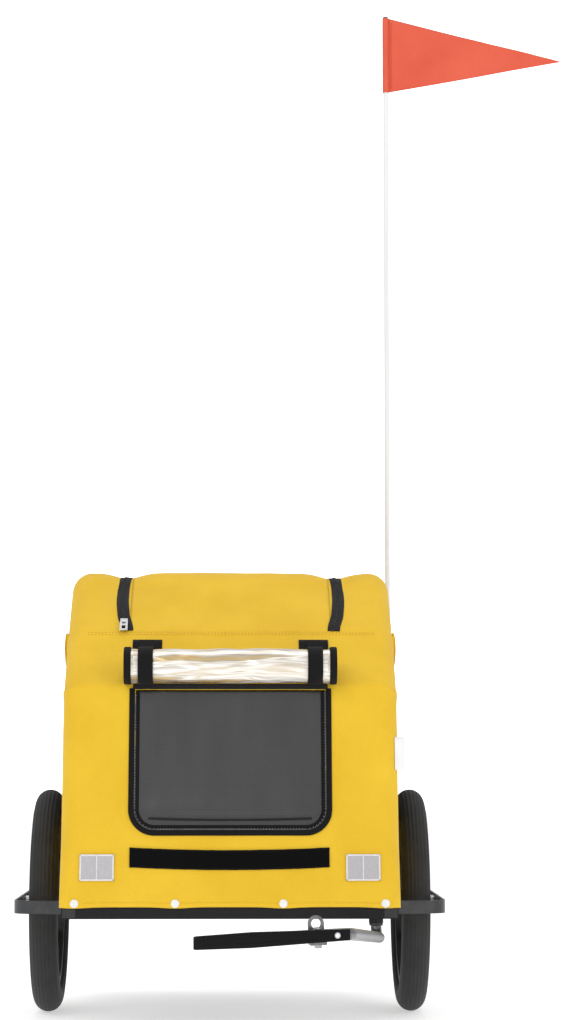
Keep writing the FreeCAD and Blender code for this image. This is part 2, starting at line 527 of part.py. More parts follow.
# ---------------------------------------------------------------- tow arm
AX, AYY, AR = S["arm_x"], S["arm_y"], S["arm_rad"]
CORNER, TIP = V(133, -535, 170.3), V(64, -545, 167.3)
TOP = S["rail_low"] + S["rail"]
arm_pts = [(AX, AYY, TOP + 0.2), (AX, AYY, 131), (194, -28, 132), tuple(CORNER), tuple(TIP)]
arm_shape = tube(arm_pts, [16, 40, 22], AR, S["arm_wall"])
ax_dir = (TIP - CORNER).normalize()
side_dir = V(-ax_dir.y, ax_dir.x, 0).normalize()
if side_dir.y > 0:
    side_dir = side_dir * -1            # towards the front
lift = ax_dir.cross(side_dir).normalize()
if lift.z < 0:
    lift = lift * -1


def along(x):
    return CORNER + (TIP - CORNER) * ((x - CORNER.x) / (TIP.x - CORNER.x))


hb, rb = along(97.0), along(117.0)
arm_shape = arm_shape.cut(Part.makeCylinder(2.5, 40, hb - lift * 20, lift))
arm_shape = arm_shape.cut(Part.makeCylinder(2.0, 40, rb - side_dir * 20, side_dir))
solid(arm_shape, "tow_arm")
stops = group(solid(Part.makeCylinder(10, 2.5, V(AX, AYY, TOP + 0.2))), solid(Part.makeCylinder(9, 2.4, V(AX, AYY, S["rail_low"] - 9)).cut(Part.makeCylinder(AR, 5, V(AX, AYY, S["rail_low"] - 10)))))
keep(stops, "tow_arm_stops")
boss = Part.makeCylinder(9.5, 6.0, V(AX, AYY, S["rail_low"] - 6.0)).cut(Part.makeCylinder(AR + 0.05, 12, V(AX, AYY, S["rail_low"] - 11)))
solid(boss, "tow_arm_bracket")

# hitch plate: a steel eye bent under the arm's rear, held by an upright bolt
gap = AR + 0.05
web = Part.makePolygon([hb - side_dir * gap + ax_dir * -9 + lift * -gap, hb - side_dir * gap + ax_dir * 9 + lift * -gap,
                        hb - side_dir * gap + ax_dir * 9 + lift * 13, hb - side_dir * gap + ax_dir * -9 + lift * 13, hb - side_dir * gap + ax_dir * -9 + lift * -gap])
ear = Part.Face(web).extrude(side_dir * -3)
eye_mid = hb - side_dir * gap + lift * 13
ear = ear.fuse(Part.makeCylinder(9, 3, eye_mid, side_dir * -1))
foot = Part.Face(Part.makePolygon([hb + side_dir * 7 - ax_dir * 9 - lift * gap, hb + side_dir * 7 + ax_dir * 9 - lift * gap, hb - side_dir * (gap + 3) + ax_dir * 9 - lift * gap,
                                   hb - side_dir * (gap + 3) - ax_dir * 9 - lift * gap, hb + side_dir * 7 - ax_dir * 9 - lift * gap])).extrude(lift * -3)
ear = ear.fuse(foot).removeSplitter()
ear = ear.cut(Part.makeCylinder(S["eye_rad"], 20, eye_mid + side_dir * 8, side_dir * -1)).cut(Part.makeCylinder(2.5, 12, hb - lift * 16, lift))
solid(ear, "hitch_plate")
print("hitch eye middle", eye_mid - side_dir * 1.5 + OFF, "axis", side_dir, "lift", lift)
bolt = Part.makeCylinder(2.48, 2 * gap + 3.0, hb - lift * (gap + 3), lift)
bolt = bolt.fuse(Part.makeCylinder(4.0, 2.2, hb + lift * gap, lift)).fuse(Part.makeCylinder(4.2, 3.5, hb - lift * (gap + 3), lift * -1))
solid(bolt, "hitch_bolt")

# stiff flat coupling strap riveted to the front of the arm's end
def strap_point(x, up):
    return along(x) + side_dir * gap + V(0, 0, up)


edge = [(131, -6.2), (131, 6.2), (97, 6.9), (22, 8.7), (-30, 7.6), (-39.4, 7.4), (-41, 6.4), (-41, -6.4), (-39.4, -7.4), (-30, -7.6), (22, -8.7), (97, -7.4)]
poly = [strap_point(x, u) for x, u in edge]
strap = Part.Face(Part.makePolygon(poly + [poly[0]])).extrude(side_dir * 4)
strap = strap.cut(Part.makeCylinder(2.0, 30, rb - side_dir * 5, side_dir))
solid(strap, "coupling_strap")
rivet = Part.makeCylinder(1.98, 2 * AR + 6, rb + side_dir * (gap + 4.05), side_dir * -1)
rivet = rivet.fuse(Part.makeCylinder(3.4, 1.4, rb + side_dir * (gap + 4.05), side_dir)).fuse(Part.makeCylinder(3.4, 1.4, rb - side_dir * (AR + 0.4), side_dir * -1))
solid(rivet, "strap_rivet")

doc.recompute()
bad = [o.Name for o in doc.Objects if any(s in ("Invalid", "Error") for s in o.State)]
if bad:
    raise SystemExit("failed objects: %s" % bad)
os.makedirs("parts", exist_ok=True)
total = None
for o in NODES:
    sh = o.Shape
    if sh.isNull() or not sh.isValid() or not sh.Solids:
        raise SystemExit("bad shape in %s" % o.Label)
    out = sh if len(sh.Solids) > 1 or sh.ShapeType == "Solid" else sh.Solids[0]
    if len(sh.Solids) > 1:
        out = Part.makeCompound(sh.Solids)
    out.exportStep("parts/%s.step" % o.Label)
    bb = sh.optimalBoundingBox(True, False)
    total = bb if total is None else total.united(bb)
    print("%-26s %2d %s" % (o.Label, len(sh.Solids), " ".join("%.1f" % v for v in (bb.XMin, bb.XMax, bb.YMin, bb.YMax, bb.ZMin, bb.ZMax))))
print(len(NODES), "nodes; box", total)
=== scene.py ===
import bpy
import bmesh
import math
import numpy as np
from mathutils import Vector, Matrix, noise


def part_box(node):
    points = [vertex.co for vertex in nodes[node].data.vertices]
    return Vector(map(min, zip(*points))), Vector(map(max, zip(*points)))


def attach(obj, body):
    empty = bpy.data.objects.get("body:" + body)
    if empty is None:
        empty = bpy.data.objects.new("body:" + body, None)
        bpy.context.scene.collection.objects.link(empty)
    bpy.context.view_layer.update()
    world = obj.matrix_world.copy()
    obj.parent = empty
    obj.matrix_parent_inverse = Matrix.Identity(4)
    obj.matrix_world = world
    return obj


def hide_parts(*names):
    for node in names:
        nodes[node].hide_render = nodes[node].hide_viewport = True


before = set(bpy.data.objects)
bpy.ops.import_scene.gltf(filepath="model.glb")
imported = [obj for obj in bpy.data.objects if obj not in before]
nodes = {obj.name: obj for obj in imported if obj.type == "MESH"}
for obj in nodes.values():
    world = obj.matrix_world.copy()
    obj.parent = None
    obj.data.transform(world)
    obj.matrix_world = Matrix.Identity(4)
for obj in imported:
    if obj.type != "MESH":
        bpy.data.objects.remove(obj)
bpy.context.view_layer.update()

# ------------------------------------------------------------------ trailer coordinates (mm) to the row's frame (m)
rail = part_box("side_rail_left")
ORX = rail[1][0] * 1000 - 221.2
ORY = rail[0][1] * 1000 - 3.0


def P(x, y, z):
    return ((x + ORX) / 1000, (y + ORY) / 1000, z / 1000)


# ------------------------------------------------------------------ materials
def new_mat(name):
    m = bpy.data.materials.new(name)
    m.use_nodes = True
    nt = m.node_tree
    b = nt.nodes["Principled BSDF"]
    return m, nt, b


def N(nt, kind, **kw):
    n = nt.nodes.new(kind)
    for k, v in kw.items():
        if k in n.inputs:
            n.inputs[k].default_value = v
        else:
            setattr(n, k, v)
    return n


def srgb(r, g, b):
    f = lambda v: ((v / 255 + 0.055) / 1.055) ** 2.4 if v / 255 > 0.04045 else v / 255 / 12.92
    return (f(r), f(g), f(b), 1.0)


def ramp(nt, fac, stops):
    r = nt.nodes.new("ShaderNodeValToRGB")
    e = r.color_ramp.elements
    while len(e) < len(stops):
        e.new(0.5)
    for i, (p, c) in enumerate(stops):
        e[i].position = p
        e[i].color = c
    nt.links.new(fac, r.inputs["Fac"])
    return r.outputs["Color"]


def mathn(nt, op, a, b=None, clamp=False):
    n = nt.nodes.new("ShaderNodeMath")
    n.operation = op
    n.use_clamp = clamp
    for i, v in enumerate((a, b)):
        if v is None:
            continue
        if isinstance(v, (int, float)):
            n.inputs[i].default_value = v
        else:
            nt.links.new(v, n.inputs[i])
    return n.outputs[0]


def coords(nt, uv=False, scale=(1, 1, 1)):
    t = nt.nodes.new("ShaderNodeTexCoord")
    m = nt.nodes.new("ShaderNodeMapping")
    m.inputs["Scale"].default_value = scale
    nt.links.new(t.outputs["UV" if uv else "Object"], m.inputs["Vector"])
    return m.outputs["Vector"]


def noise_tex(nt, vec, scale, detail=4.0, rough=0.55):
    n = nt.nodes.new("ShaderNodeTexNoise")
    n.inputs["Scale"].default_value = scale
    n.inputs["Detail"].default_value = detail
    n.inputs["Roughness"].default_value = rough
    nt.links.new(vec, n.inputs["Vector"])
    return n.outputs["Fac"]


def wave(nt, vec, scale, direction, distortion=0.0, kind="SIN"):
    n = nt.nodes.new("ShaderNodeTexWave")
    n.wave_type = "BANDS"
    n.bands_direction = direction
    n.wave_profile = kind
    n.inputs["Scale"].default_value = scale
    n.inputs["Distortion"].default_value = distortion
    nt.links.new(vec, n.inputs["Vector"])
    return n.outputs["Fac"]


def bump(nt, height, strength, distance, prior=None):
    n = nt.nodes.new("ShaderNodeBump")
    n.inputs["Strength"].default_value = strength
    n.inputs["Distance"].default_value = distance
    nt.links.new(height, n.inputs["Height"])
    if prior is not None:
        nt.links.new(prior, n.inputs["Normal"])
    return n.outputs["Normal"]


def fabric(name, col, dark, weave=900.0, sheen=0.15, rough=0.78, uv=True, crease=0.35, spec=0.25):
    """Woven cloth: two crossed thread waves, soft tone patches, fine creases."""
    m, nt, b = new_mat(name)
    v = coords(nt, uv)
    wx = wave(nt, v, weave / 6.283, "X", 0.4)
    wy = wave(nt, v, weave / 6.283, "Y", 0.4)
    w = mathn(nt, "MAXIMUM", wx, wy)
    tone = noise_tex(nt, v, 9.0, 3.0)
    fleck = noise_tex(nt, v, 420.0, 2.0)
    mix = mathn(nt, "ADD", mathn(nt, "MULTIPLY", tone, 0.75), mathn(nt, "MULTIPLY", fleck, 0.25))
    nt.links.new(ramp(nt, mix, [(0.30, dark), (0.62, col)]), b.inputs["Base Color"])
    nt.links.new(mathn(nt, "ADD", mathn(nt, "MULTIPLY", fleck, 0.16), rough - 0.08), b.inputs["Roughness"])
    b.inputs["Sheen Weight"].default_value = sheen
    b.inputs["Sheen Roughness"].default_value = 0.5
    b.inputs["Specular IOR Level"].default_value = spec
    n1 = bump(nt, noise_tex(nt, v, 14.0, 5.0, 0.6), crease, 0.004)
    n2 = bump(nt, w, 0.35, 0.0004, n1)
    nt.links.new(n2, b.inputs["Normal"])
    return m


def solid_mat(name, col, dark, rough, metal=0.0, scale=60.0, wear=0.12, bumpd=0.0003, coat=0.0, spec=0.5, aniso=0.0, stretch=(1, 1, 1)):
    m, nt, b = new_mat(name)
    v = coords(nt, False, stretch)
    t = noise_tex(nt, v, scale, 6.0)
    nt.links.new(ramp(nt, t, [(0.3, dark), (0.7, col)]), b.inputs["Base Color"])
    nt.links.new(mathn(nt, "ADD", mathn(nt, "MULTIPLY", t, wear * 2), rough - wear), b.inputs["Roughness"])
    b.inputs["Metallic"].default_value = metal
    b.inputs["Coat Weight"].default_value = coat
    b.inputs["Coat Roughness"].default_value = 0.12
    b.inputs["Specular IOR Level"].default_value = spec
    b.inputs["Anisotropic"].default_value = aniso
    nt.links.new(bump(nt, noise_tex(nt, v, scale * 9, 3.0), 0.25, bumpd), b.inputs["Normal"])
    return m


M = {}
M["yellow"] = fabric("yellow_oxford", srgb(234, 192, 46), srgb(222, 178, 34), 700, 0.08, 0.72)
M["flag"] = fabric("flag_cloth", srgb(224, 98, 74), srgb(214, 86, 63), 900, 0.1, 0.8, crease=0.15)
M["trim"] = fabric("black_webbing", srgb(13, 12, 13), srgb(8, 8, 9), 1400, 0.03, 0.85, uv=False, crease=0.1)
M["tape"] = fabric("zip_tape", srgb(32, 32, 34), srgb(22, 22, 24), 1600, 0.06, 0.85, uv=False, crease=0.05)
M["black"] = solid_mat("black_powder_coat", srgb(17, 16, 17), srgb(12, 11, 12), 0.5, 0.0, 90, 0.08, 0.0002, 0.04, 0.25)
M["guard"] = solid_mat("grey_flat_bar", srgb(70, 71, 73), srgb(54, 55, 57), 0.38, 0.55, 70, 0.1, 0.0001, 0.15)
M["tube"] = solid_mat("satin_tube", srgb(136, 137, 139), srgb(104, 105, 107), 0.34, 0.85, 120, 0.08, 0.0001, aniso=0.4)
M["zinc"] = solid_mat("zinc_plate", srgb(196, 196, 198), srgb(160, 160, 163), 0.3, 0.95, 160, 0.1, 0.0001)
M["tyre"] = solid_mat("tyre_rubber", srgb(48, 48, 48), srgb(36, 36, 36), 0.7, 0.0, 50, 0.12, 0.0004, spec=0.35)
M["plastic"] = solid_mat("moulded_black", srgb(40, 40, 42), srgb(30, 30, 32), 0.5, 0.0, 120, 0.08, 0.0002)
M["white"] = solid_mat("white_snap", srgb(240, 240, 238), srgb(226, 226, 224), 0.3, 0.0, 120, 0.05, 0.0001, 0.3)
M["board"] = solid_mat("floor_board", srgb(56, 52, 50), srgb(40, 38, 36), 0.75, 0.0, 30, 0.1, 0.0006)
M["mast"] = solid_mat("glass_fibre_rod", srgb(234, 235, 236), srgb(224, 225, 226), 0.35, 0.0, 200, 0.06, 0.0001, 0.3, stretch=(1, 1, 0.02))
M["label"] = fabric("blank_label", srgb(244, 244, 242), srgb(234, 234, 232), 2000, 0.1, 0.7, uv=False, crease=0.05)


def tyre_grooves():
    m = M["tyre"]
    nt = m.node_tree
    b = nt.nodes["Principled BSDF"]
    v = coords(nt, False)
    prior = b.inputs["Normal"].links[0].from_socket
    nt.links.new(bump(nt, wave(nt, v, 60.0, "X"), 0.5, 0.0012, prior), b.inputs["Normal"])


tyre_grooves()


def mesh_mat():
    """Fine dark mesh behind a clear film, with soft vertical ribbing in its sheen."""
    m, nt, b = new_mat("mesh_behind_film")
    v = coords(nt, True)
    gx = wave(nt, v, 1000 / 1.7 / 3.1416 / 2, "X")
    gy = wave(nt, v, 1000 / 1.7 / 3.1416 / 2, "Y")
    g = mathn(nt, "MULTIPLY", gx, gy)
    t = noise_tex(nt, coords(nt, True, (1, 0.35, 1)), 16.0, 4.0)
    grey = mathn(nt, "ADD", mathn(nt, "MULTIPLY", g, 0.35), mathn(nt, "MULTIPLY", t, 0.65))
    nt.links.new(ramp(nt, grey, [(0.12, srgb(38, 38, 39)), (0.5, srgb(51, 51, 52)), (0.9, srgb(68, 68, 69))]), b.inputs["Base Color"])
    b.inputs["Roughness"].default_value = 0.42
    b.inputs["Coat Weight"].default_value = 0.25
    b.inputs["Coat Roughness"].default_value = 0.3
    n1 = bump(nt, t, 0.25, 0.004)
    nt.links.new(bump(nt, g, 0.5, 0.0006, n1), b.inputs["Normal"])
    return m


M["mesh"] = mesh_mat()


def vinyl_painted_reflections_mat():
    """Clear vinyl rolled over itself: painted reflections as long glossy streaks of silver, cream and gold in its base
    colour.
    """
    m, nt, b = new_mat("rolled_clear_vinyl_painted_reflections")
    v = coords(nt, True, (0.07, 1.0, 1.0))
    d = noise_tex(nt, coords(nt, True, (0.5, 1.0, 1.0)), 16.0, 2.0)
    off = nt.nodes.new("ShaderNodeVectorMath")
    off.operation = "ADD"
    comb = nt.nodes.new("ShaderNodeCombineXYZ")
    nt.links.new(mathn(nt, "MULTIPLY", d, 0.022), comb.inputs["Y"])
    nt.links.new(v, off.inputs[0])
    nt.links.new(comb.outputs[0], off.inputs[1])
    t = noise_tex(nt, off.outputs[0], 74.0, 3.0, 0.5)
    # the silver, cream and gold streaks are painted reflections, not the vinyl's own colour
    col = ramp(nt, t, [(0.26, srgb(142, 116, 74)), (0.36, srgb(206, 178, 120)), (0.42, srgb(186, 172, 152)), (0.49, srgb(250, 247, 240)), (0.55, srgb(214, 200, 178)), (0.60, srgb(252, 250, 246)), (0.70, srgb(200, 192, 180)), (0.80, srgb(250, 248, 244))])
    nt.links.new(col, b.inputs["Base Color"])
    b.inputs["Roughness"].default_value = 0.16
    b.inputs["Metallic"].default_value = 0.25
    b.inputs["Coat Weight"].default_value = 1.0
    b.inputs["Coat Roughness"].default_value = 0.05
    b.inputs["IOR"].default_value = 1.53
    nt.links.new(bump(nt, t, 0.7, 0.004), b.inputs["Normal"])
    return m


M["vinyl"] = vinyl_painted_reflections_mat()


def reflector_mat():
    m, nt, b = new_mat("prismatic_reflector")
    v = coords(nt, True)
    vo = nt.nodes.new("ShaderNodeTexVoronoi")
    vo.inputs["Scale"].default_value = 420.0
    nt.links.new(v, vo.inputs["Vector"])
    nt.links.new(ramp(nt, vo.outputs["Distance"], [(0.0, srgb(182, 178, 182)), (0.7, srgb(194, 191, 194))]), b.inputs["Base Color"])
    b.inputs["Roughness"].default_value = 0.28
    b.inputs["Metallic"].default_value = 0.35
    b.inputs["Coat Weight"].default_value = 0.8
    b.inputs["Coat Roughness"].default_value = 0.1
    nt.links.new(bump(nt, vo.outputs["Distance"], 0.15, 0.0003), b.inputs["Normal"])
    return m


M["reflect"] = reflector_mat()


# ------------------------------------------------------------------ mesh helpers (all in trailer mm, turned to metres on the way in)
def mesh_obj(name, verts, faces, mat, uvs=None, smooth=True, body="base", mats=None):
    me = bpy.data.meshes.new(name)
    me.from_pydata([P(*v) for v in verts], [], [tuple(f) for f in faces])
    me.update()
    if uvs is not None:
        lay = me.uv_layers.new(name="UVMap")
        for poly in me.polygons:
            for li in poly.loop_indices:
                lay.data[li].uv = uvs[me.loops[li].vertex_index]
    me.materials.append(mat)
    for p in me.polygons:
        p.use_smooth = smooth
    o = bpy.data.objects.new(name, me)
    bpy.context.scene.collection.objects.link(o)
    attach(o, body)
    return o


def thicken(o, mm, offset=-1.0):
    md = o.modifiers.new("Thickness", "SOLIDIFY")
    md.thickness = mm / 1000
    md.offset = offset
    return o


def grid_faces(nu, nv, skip=None, wrap=False):
    f = []
    for i in range(nu - 1):
        for j in range(nv if wrap else nv - 1):
            k = (j + 1) % nv
            if skip and skip(i, j):
                continue
            f.append((i * nv + j, i * nv + k, (i + 1) * nv + k, (i + 1) * nv + j))
    return f


def sweep(name, path, ups, section, mat, body="base", closed=False, smooth=True, taper=None):
    """A section (list of (sideways, up) in mm) carried along a path of mm points with an up vector at each."""
    verts, uvs, n, length = [], [], len(section), 0.0
    for i, p in enumerate(path):
        p = Vector(p)
        a = Vector(path[i - 1]) if (i > 0 or closed) else p
        b = Vector(path[(i + 1) % len(path)]) if (i < len(path) - 1 or closed) else p
        t = (b - a).normalized()
        u = Vector(ups[i]).normalized()
        s = t.cross(u).normalized()
        u = s.cross(t).normalized()
        if i:
            length += (p - Vector(path[i - 1])).length
        k = taper(i / (len(path) - 1)) if taper else 1.0
        for j, (sx, sy) in enumerate(section):
            verts.append(tuple(p + s * sx * k + u * sy * k))
            uvs.append((length / 1000, j * 0.002))
    faces = []
    m = len(path)
    for i in range(m if closed else m - 1):
        i2 = (i + 1) % m
        for j in range(n):
            k = (j + 1) % n
            faces.append((i * n + j, i2 * n + j, i2 * n + k, i * n + k))
    if not closed:
        faces.append(tuple(range(n)))
        faces.append(tuple(reversed(range((m - 1) * n, m * n))))
    o = mesh_obj(name, verts, faces, mat, uvs, smooth, body)
    bm = bmesh.new()
    bm.from_mesh(o.data)
    bmesh.ops.recalc_face_normals(bm, faces=bm.faces)
    bm.to_mesh(o.data)
    bm.free()
    if smooth:
        md = o.modifiers.new("Edges", "EDGE_SPLIT")
        md.split_angle = math.radians(45)
    return o


def flat_section(w, h):
    """A thin woven strip's section with soft edges, its underside at 0."""
    r = min(h * 0.45, 0.7)
    return [(-w / 2, r), (-w / 2 + r, 0), (w / 2 - r, 0), (w / 2, r), (w / 2, h - r), (w / 2 - r, h), (-w / 2 + r, h), (-w / 2, h - r)]


def round_section(r, n=16):
    return [(r * math.cos(2 * math.pi * k / n), r * math.sin(2 * math.pi * k / n)) for k in range(n)]


def rnd(x, y, z, s=1.0):
    return noise.noise(Vector((x * s, y * s, z * s)))


def joined(name, parts, mat, body="base", smooth=True):
    """Many small shells in one piece."""
    verts, faces = [], []
    for v, f in parts:
        k = len(verts)
        verts += v
        faces += [tuple(i + k for i in q) for q in f]
    return mesh_obj(name, verts, faces, mat, [(v[0] / 1000, v[2] / 1000) for v in verts], smooth, body)


def brick(c, ax, ay, az, hx, hy, hz):
    c, ax, ay, az = Vector(c), Vector(ax), Vector(ay), Vector(az)
    v = []
    for sz in (-1, 1):
        for sx, sy in ((-1, -1), (1, -1), (1, 1), (-1, 1)):
            v.append(tuple(c + ax * hx * sx + ay * hy * sy + az * hz * sz))
    return v, [(3, 2, 1, 0), (4, 5, 6, 7), (0, 1, 5, 4), (1, 2, 6, 5), (2, 3, 7, 6), (3, 0, 4, 7)]


# ------------------------------------------------------------------ the cabin's side view
OUT = [(0, 168.5), (0, 180), (50, 462), (130, 537), (250, 626), (560, 626), (640, 560), (700, 250), (700, 168.5)]
BENDS = [20, 10, 60, 70, 60, 60, 60]


def rounded(points, radii, step=5.0):
    out = [points[0]]
    for i in range(1, len(points) - 1):
        a, b, c = (np.array(points[k], float) for k in (i - 1, i, i + 1))
        d1, d2 = (a - b) / np.linalg.norm(a - b), (c - b) / np.linalg.norm(c - b)
        half = math.acos(max(-1, min(1, float(d1 @ d2)))) / 2
        r = radii[i - 1]
        t = r / math.tan(half)
        mid = b + (d1 + d2) / np.linalg.norm(d1 + d2) * (r / math.sin(half))
        s, e = b + d1 * t, b + d2 * t
        n = max(3, int(r * (math.pi - 2 * half) / step) + 2)
        a0 = math.atan2(*(s - mid)[::-1])
        a1 = math.atan2(*(e - mid)[::-1])
        if a1 - a0 > math.pi:
            a1 -= 2 * math.pi
        if a1 - a0 < -math.pi:
            a1 += 2 * math.pi
        for k in range(n + 1):
            w = a0 + (a1 - a0) * k / n
            out.append((mid[0] + r * math.cos(w), mid[1] + r * math.sin(w)))
    out.append(points[-1])
    return out


def dense(points, step):
    res = [tuple(points[0])]
    for a, b in zip(points[:-1], points[1:]):
        d = math.hypot(b[0] - a[0], b[1] - a[1])
        n = max(1, int(math.ceil(d / step)))
        for k in range(1, n + 1):
            res.append((a[0] + (b[0] - a[0]) * k / n, a[1] + (b[1] - a[1]) * k / n))
    return res


def cut_at_y(pts, ys):
    """Adds points where the outline passes given y values."""
    res = [pts[0]]
    for a, b in zip(pts[:-1], pts[1:]):
        for y in sorted(ys):
            if min(a[0], b[0]) + 1e-6 < y < max(a[0], b[0]) - 1e-6:
                w = (y - a[0]) / (b[0] - a[0])
                res.append((y, a[1] + (b[1] - a[1]) * w))
        res.append(b)
    return res


SEAM, HINGE, HH, EDGE, HALF = 130.0, 540.0, 138.0, 196.0, 224.0
FLZ, FLH = 513.5, 24.0
STEP = 4.0
prof = cut_at_y(dense(rounded(OUT, BENDS), STEP), [SEAM + 0.4, HINGE - 0.3])
PY = np.array([p[0] for p in prof])
PZ = np.array([p[1] for p in prof])
d = np.gradient(np.stack([PY, PZ], 1), axis=0)
d /= np.linalg.norm(d, axis=1)[:, None]
NY, NZ = -d[:, 1], d[:, 0]          # outward: up and to the front
ARC = np.concatenate([[0], np.cumsum(np.hypot(np.diff(PY), np.diff(PZ)))])
RAMP = np.clip(np.minimum(ARC, ARC[-1] - ARC) / 110.0, 0, 1)
SHV = 7.0 + 21.0 * RAMP * RAMP * (3 - 2 * RAMP)      # the plan corners tighten towards the hem
IY = np.maximum.accumulate(PY - NY * SHV)
IZ = np.maximum(PZ - NZ * SHV, 168.5)
NT = len(prof)
i_seam = int(np.argmin(abs(PY - (SEAM + 0.4)) + (PZ < 500) * 1000))
i_hinge = int(np.argmin(abs(PY - (HINGE - 0.3)) + (PZ < 600) * 1000))
AL = math.atan2(282, 50)


def on_front(x, s, out=0.0):
    """A point on the lower front face: s runs up the face from its foot."""
    return (x, s * math.cos(AL) - out * math.sin(AL), 180 + s * math.sin(AL) + out * math.cos(AL))


FN = (0, -math.sin(AL), math.cos(AL))        # the face's outward normal
FU = (0, math.cos(AL), math.sin(AL))         # up the face

# ------------------------------------------------------------------ cabin skin: one continuous sheet over front, roof, rear and sides
K, A = 26, 7
XS = np.concatenate([np.linspace(-EDGE, -HH - 0.2, 13), np.linspace(-HH - 0.2, HH + 0.2, 71)[1:], np.linspace(HH + 0.2, EDGE, 13)[1:]])
NX = len(XS)


def smooth01(a, b, v):
    t = max(0.0, min(1.0, (v - a) / (b - a)))
    return t * t * (3 - 2 * t)


def relief(x, i):
    """How far the cloth stands out from the plain outline, in mm."""
    a = ARC[i]
    on_roof = smooth01(ARC[i_seam] + 45, ARC[i_seam] + 125, a) * (1 - smooth01(ARC[i_hinge] - 10, ARC[i_hinge] + 60, a))
    v = -8.0 * math.exp(-((abs(x) - 146) / 24) ** 2) * on_roof
    v += 0.9 * on_roof * math.cos(x / 138 * math.pi / 2) if abs(x) < 138 else 0.0
    v -= 0.9 * math.exp(-((a - ARC[i_seam]) / 2.6) ** 2)
    face = smooth01(ARC[0] + 20, ARC[0] + 80, a) * (1 - smooth01(ARC[i_seam] - 60, ARC[i_seam], a))
    v += 0.9 * rnd(x, a, 3.1, 0.011) + 0.45 * rnd(x, a, 7.7, 0.03)
    v += 0.35 * face * rnd(x * 0.4, a, 1.3, 0.09)
    back = smooth01(ARC[i_hinge] + 60, ARC[i_hinge] + 140, a)
    v += 2.0 * back * math.sin(max(0, min(1, (x + EDGE) / (2 * EDGE))) * math.pi) * rnd(x, a, 9.0, 0.006)
    return v * smooth01(0, 10, a) * smooth01(0, 10, ARC[-1] - a)


def hem_lift(x, i, at):
    """Between its snaps the hem rises a little."""
    if i > 5:
        return 0.0
    d = min(abs(x - q) for q in at)
    return 1.6 * (1 - math.exp(-(d / 22.0) ** 2)) * (1 - i / 6) - 0.6


SNAPS = (-204, -72, 70, 204)


def side_relief(y, z):
    edge = min(z - 168.5, 40) / 40
    return (1.1 * rnd(y, z, 5.0, 0.009) + 0.5 * rnd(y, z, 2.0, 0.03) - 0.8 * edge * math.exp(-((z - 240) / 90) ** 2)) * max(0.0, edge)


verts, uvs, tag = [], [], []
for i in range(NT):
    py, pz, iy, iz = PY[i], PZ[i], IY[i], IZ[i]
    SH = SHV[i]
    EI = HALF - SH
    for sx in (-1, 1):
        col, ucol, tcol = [], [], []
        for k in range(K + 1):
            z = 168.5 + (iz - 168.5) * k / K
            w = side_relief(iy, z) * smooth01(0, 6, min(iz - z, 6)) if k < K else 0.0
            wob = 1.2 * math.exp(-((z - 168.5) / 12) ** 2) * math.sin(iy / 26.0)
            col.append((sx * (HALF + w + (wob if k < 6 else 0) * 0.4), iy, z))
            ucol.append((sx * (EI + 1.57 * SH + iz - z) / 1000, ARC[i] / 1000))
            tcol.append(("side", iy, z))
        for k in range(1, A):
            th = math.pi / 2 * k / A
            c, s = math.cos(th), math.sin(th)
            ey, ez = py - (iy + NY[i] * SH), pz - (iz + NZ[i] * SH)
            r = relief(sx * EDGE, i) * s
            col.append((sx * (EI + SH * c), iy + NY[i] * (SH + r) * s + ey * s, iz + NZ[i] * (SH + r) * s + ez * s))
            ucol.append((sx * (EI + 1.57 * SH * (1 - k / A)) / 1000, ARC[i] / 1000))
            tcol.append(("arc", 0, 0))
        if sx < 0:
            verts += col
            uvs += ucol
            tag += tcol
            for x in XS:
                if abs(x) > HH + 0.3:
                    x = math.copysign(HH + 0.2 + (abs(x) - HH - 0.2) * (EI - HH - 0.2) / (EDGE - HH - 0.2), x)
                r = relief(x, i)
                lift = hem_lift(x, i, SNAPS)
                verts.append((x, py + NY[i] * r, pz + NZ[i] * r + lift))
                uvs.append((x / 1000, ARC[i] / 1000))
                tag.append(("top", x, i))
        else:
            verts += col[::-1]
            uvs += ucol[::-1]
            tag += tcol[::-1]
NC = 2 * (K + A) + NX
WIN = [(190, 290), (215, 480), (500, 480), (515, 290)]


def grown(pts, g, c):
    return [(p[0] + g * (1 if p[0] > c[0] else -1), p[1] + g * (1 if p[1] > c[1] else -1)) for p in pts]


def ring(pts, r, step=4.0):
    """A closed rounded outline of 2-D points."""
    mid = ((pts[-1][0] + pts[0][0]) / 2, (pts[-1][1] + pts[0][1]) / 2)
    loop = rounded([mid] + list(pts) + [mid], [r] * len(pts), 4.0)
    out = dense(loop, step)
    return out[:-1]


def inside(poly, x, y):
    c = False
    j = len(poly) - 1
    for i in range(len(poly)):
        xi, yi = poly[i]
        xj, yj = poly[j]
        if (yi > y) != (yj > y) and x < (xj - xi) * (y - yi) / (yj - yi) + xi:
            c = not c
        j = i
    return c


win_hole = ring(grown(WIN, -1.0, (354, 385)), 30)
DH, DLO, DHI, DCR = 128.0, 90.0, 281.5, 28.0


def door_path(half, lo, hi, crn, step=4.0):
    return dense(rounded([(-half, hi), (-half, lo), (half, lo), (half, hi)], [crn, crn], 3.0), step)


door_hole = door_path(DH + 2.0, DLO - 2.0, DHI + 0.5, DCR + 2)


def skip(i, j):
    vs = (i * NC + j, i * NC + j + 1, (i + 1) * NC + j, (i + 1) * NC + j + 1)
    kinds = {tag[v][0] for v in vs}
    if kinds == {"side"}:
        return all(inside(win_hole, tag[v][1], tag[v][2]) for v in vs)
    if kinds == {"top"}:
        xs = [tag[v][1] for v in vs]
        if i_seam <= i < i_hinge and max(abs(v) for v in xs) <= HH + 0.3:
            return True
        if PZ[i + 1] < 470 and PY[i] < 100:
            ss = [(PZ[tag[v][2]] - 180) / math.sin(AL) for v in vs]
            return all(inside(door_hole, x, s) for x, s in zip(xs, ss))
    return False


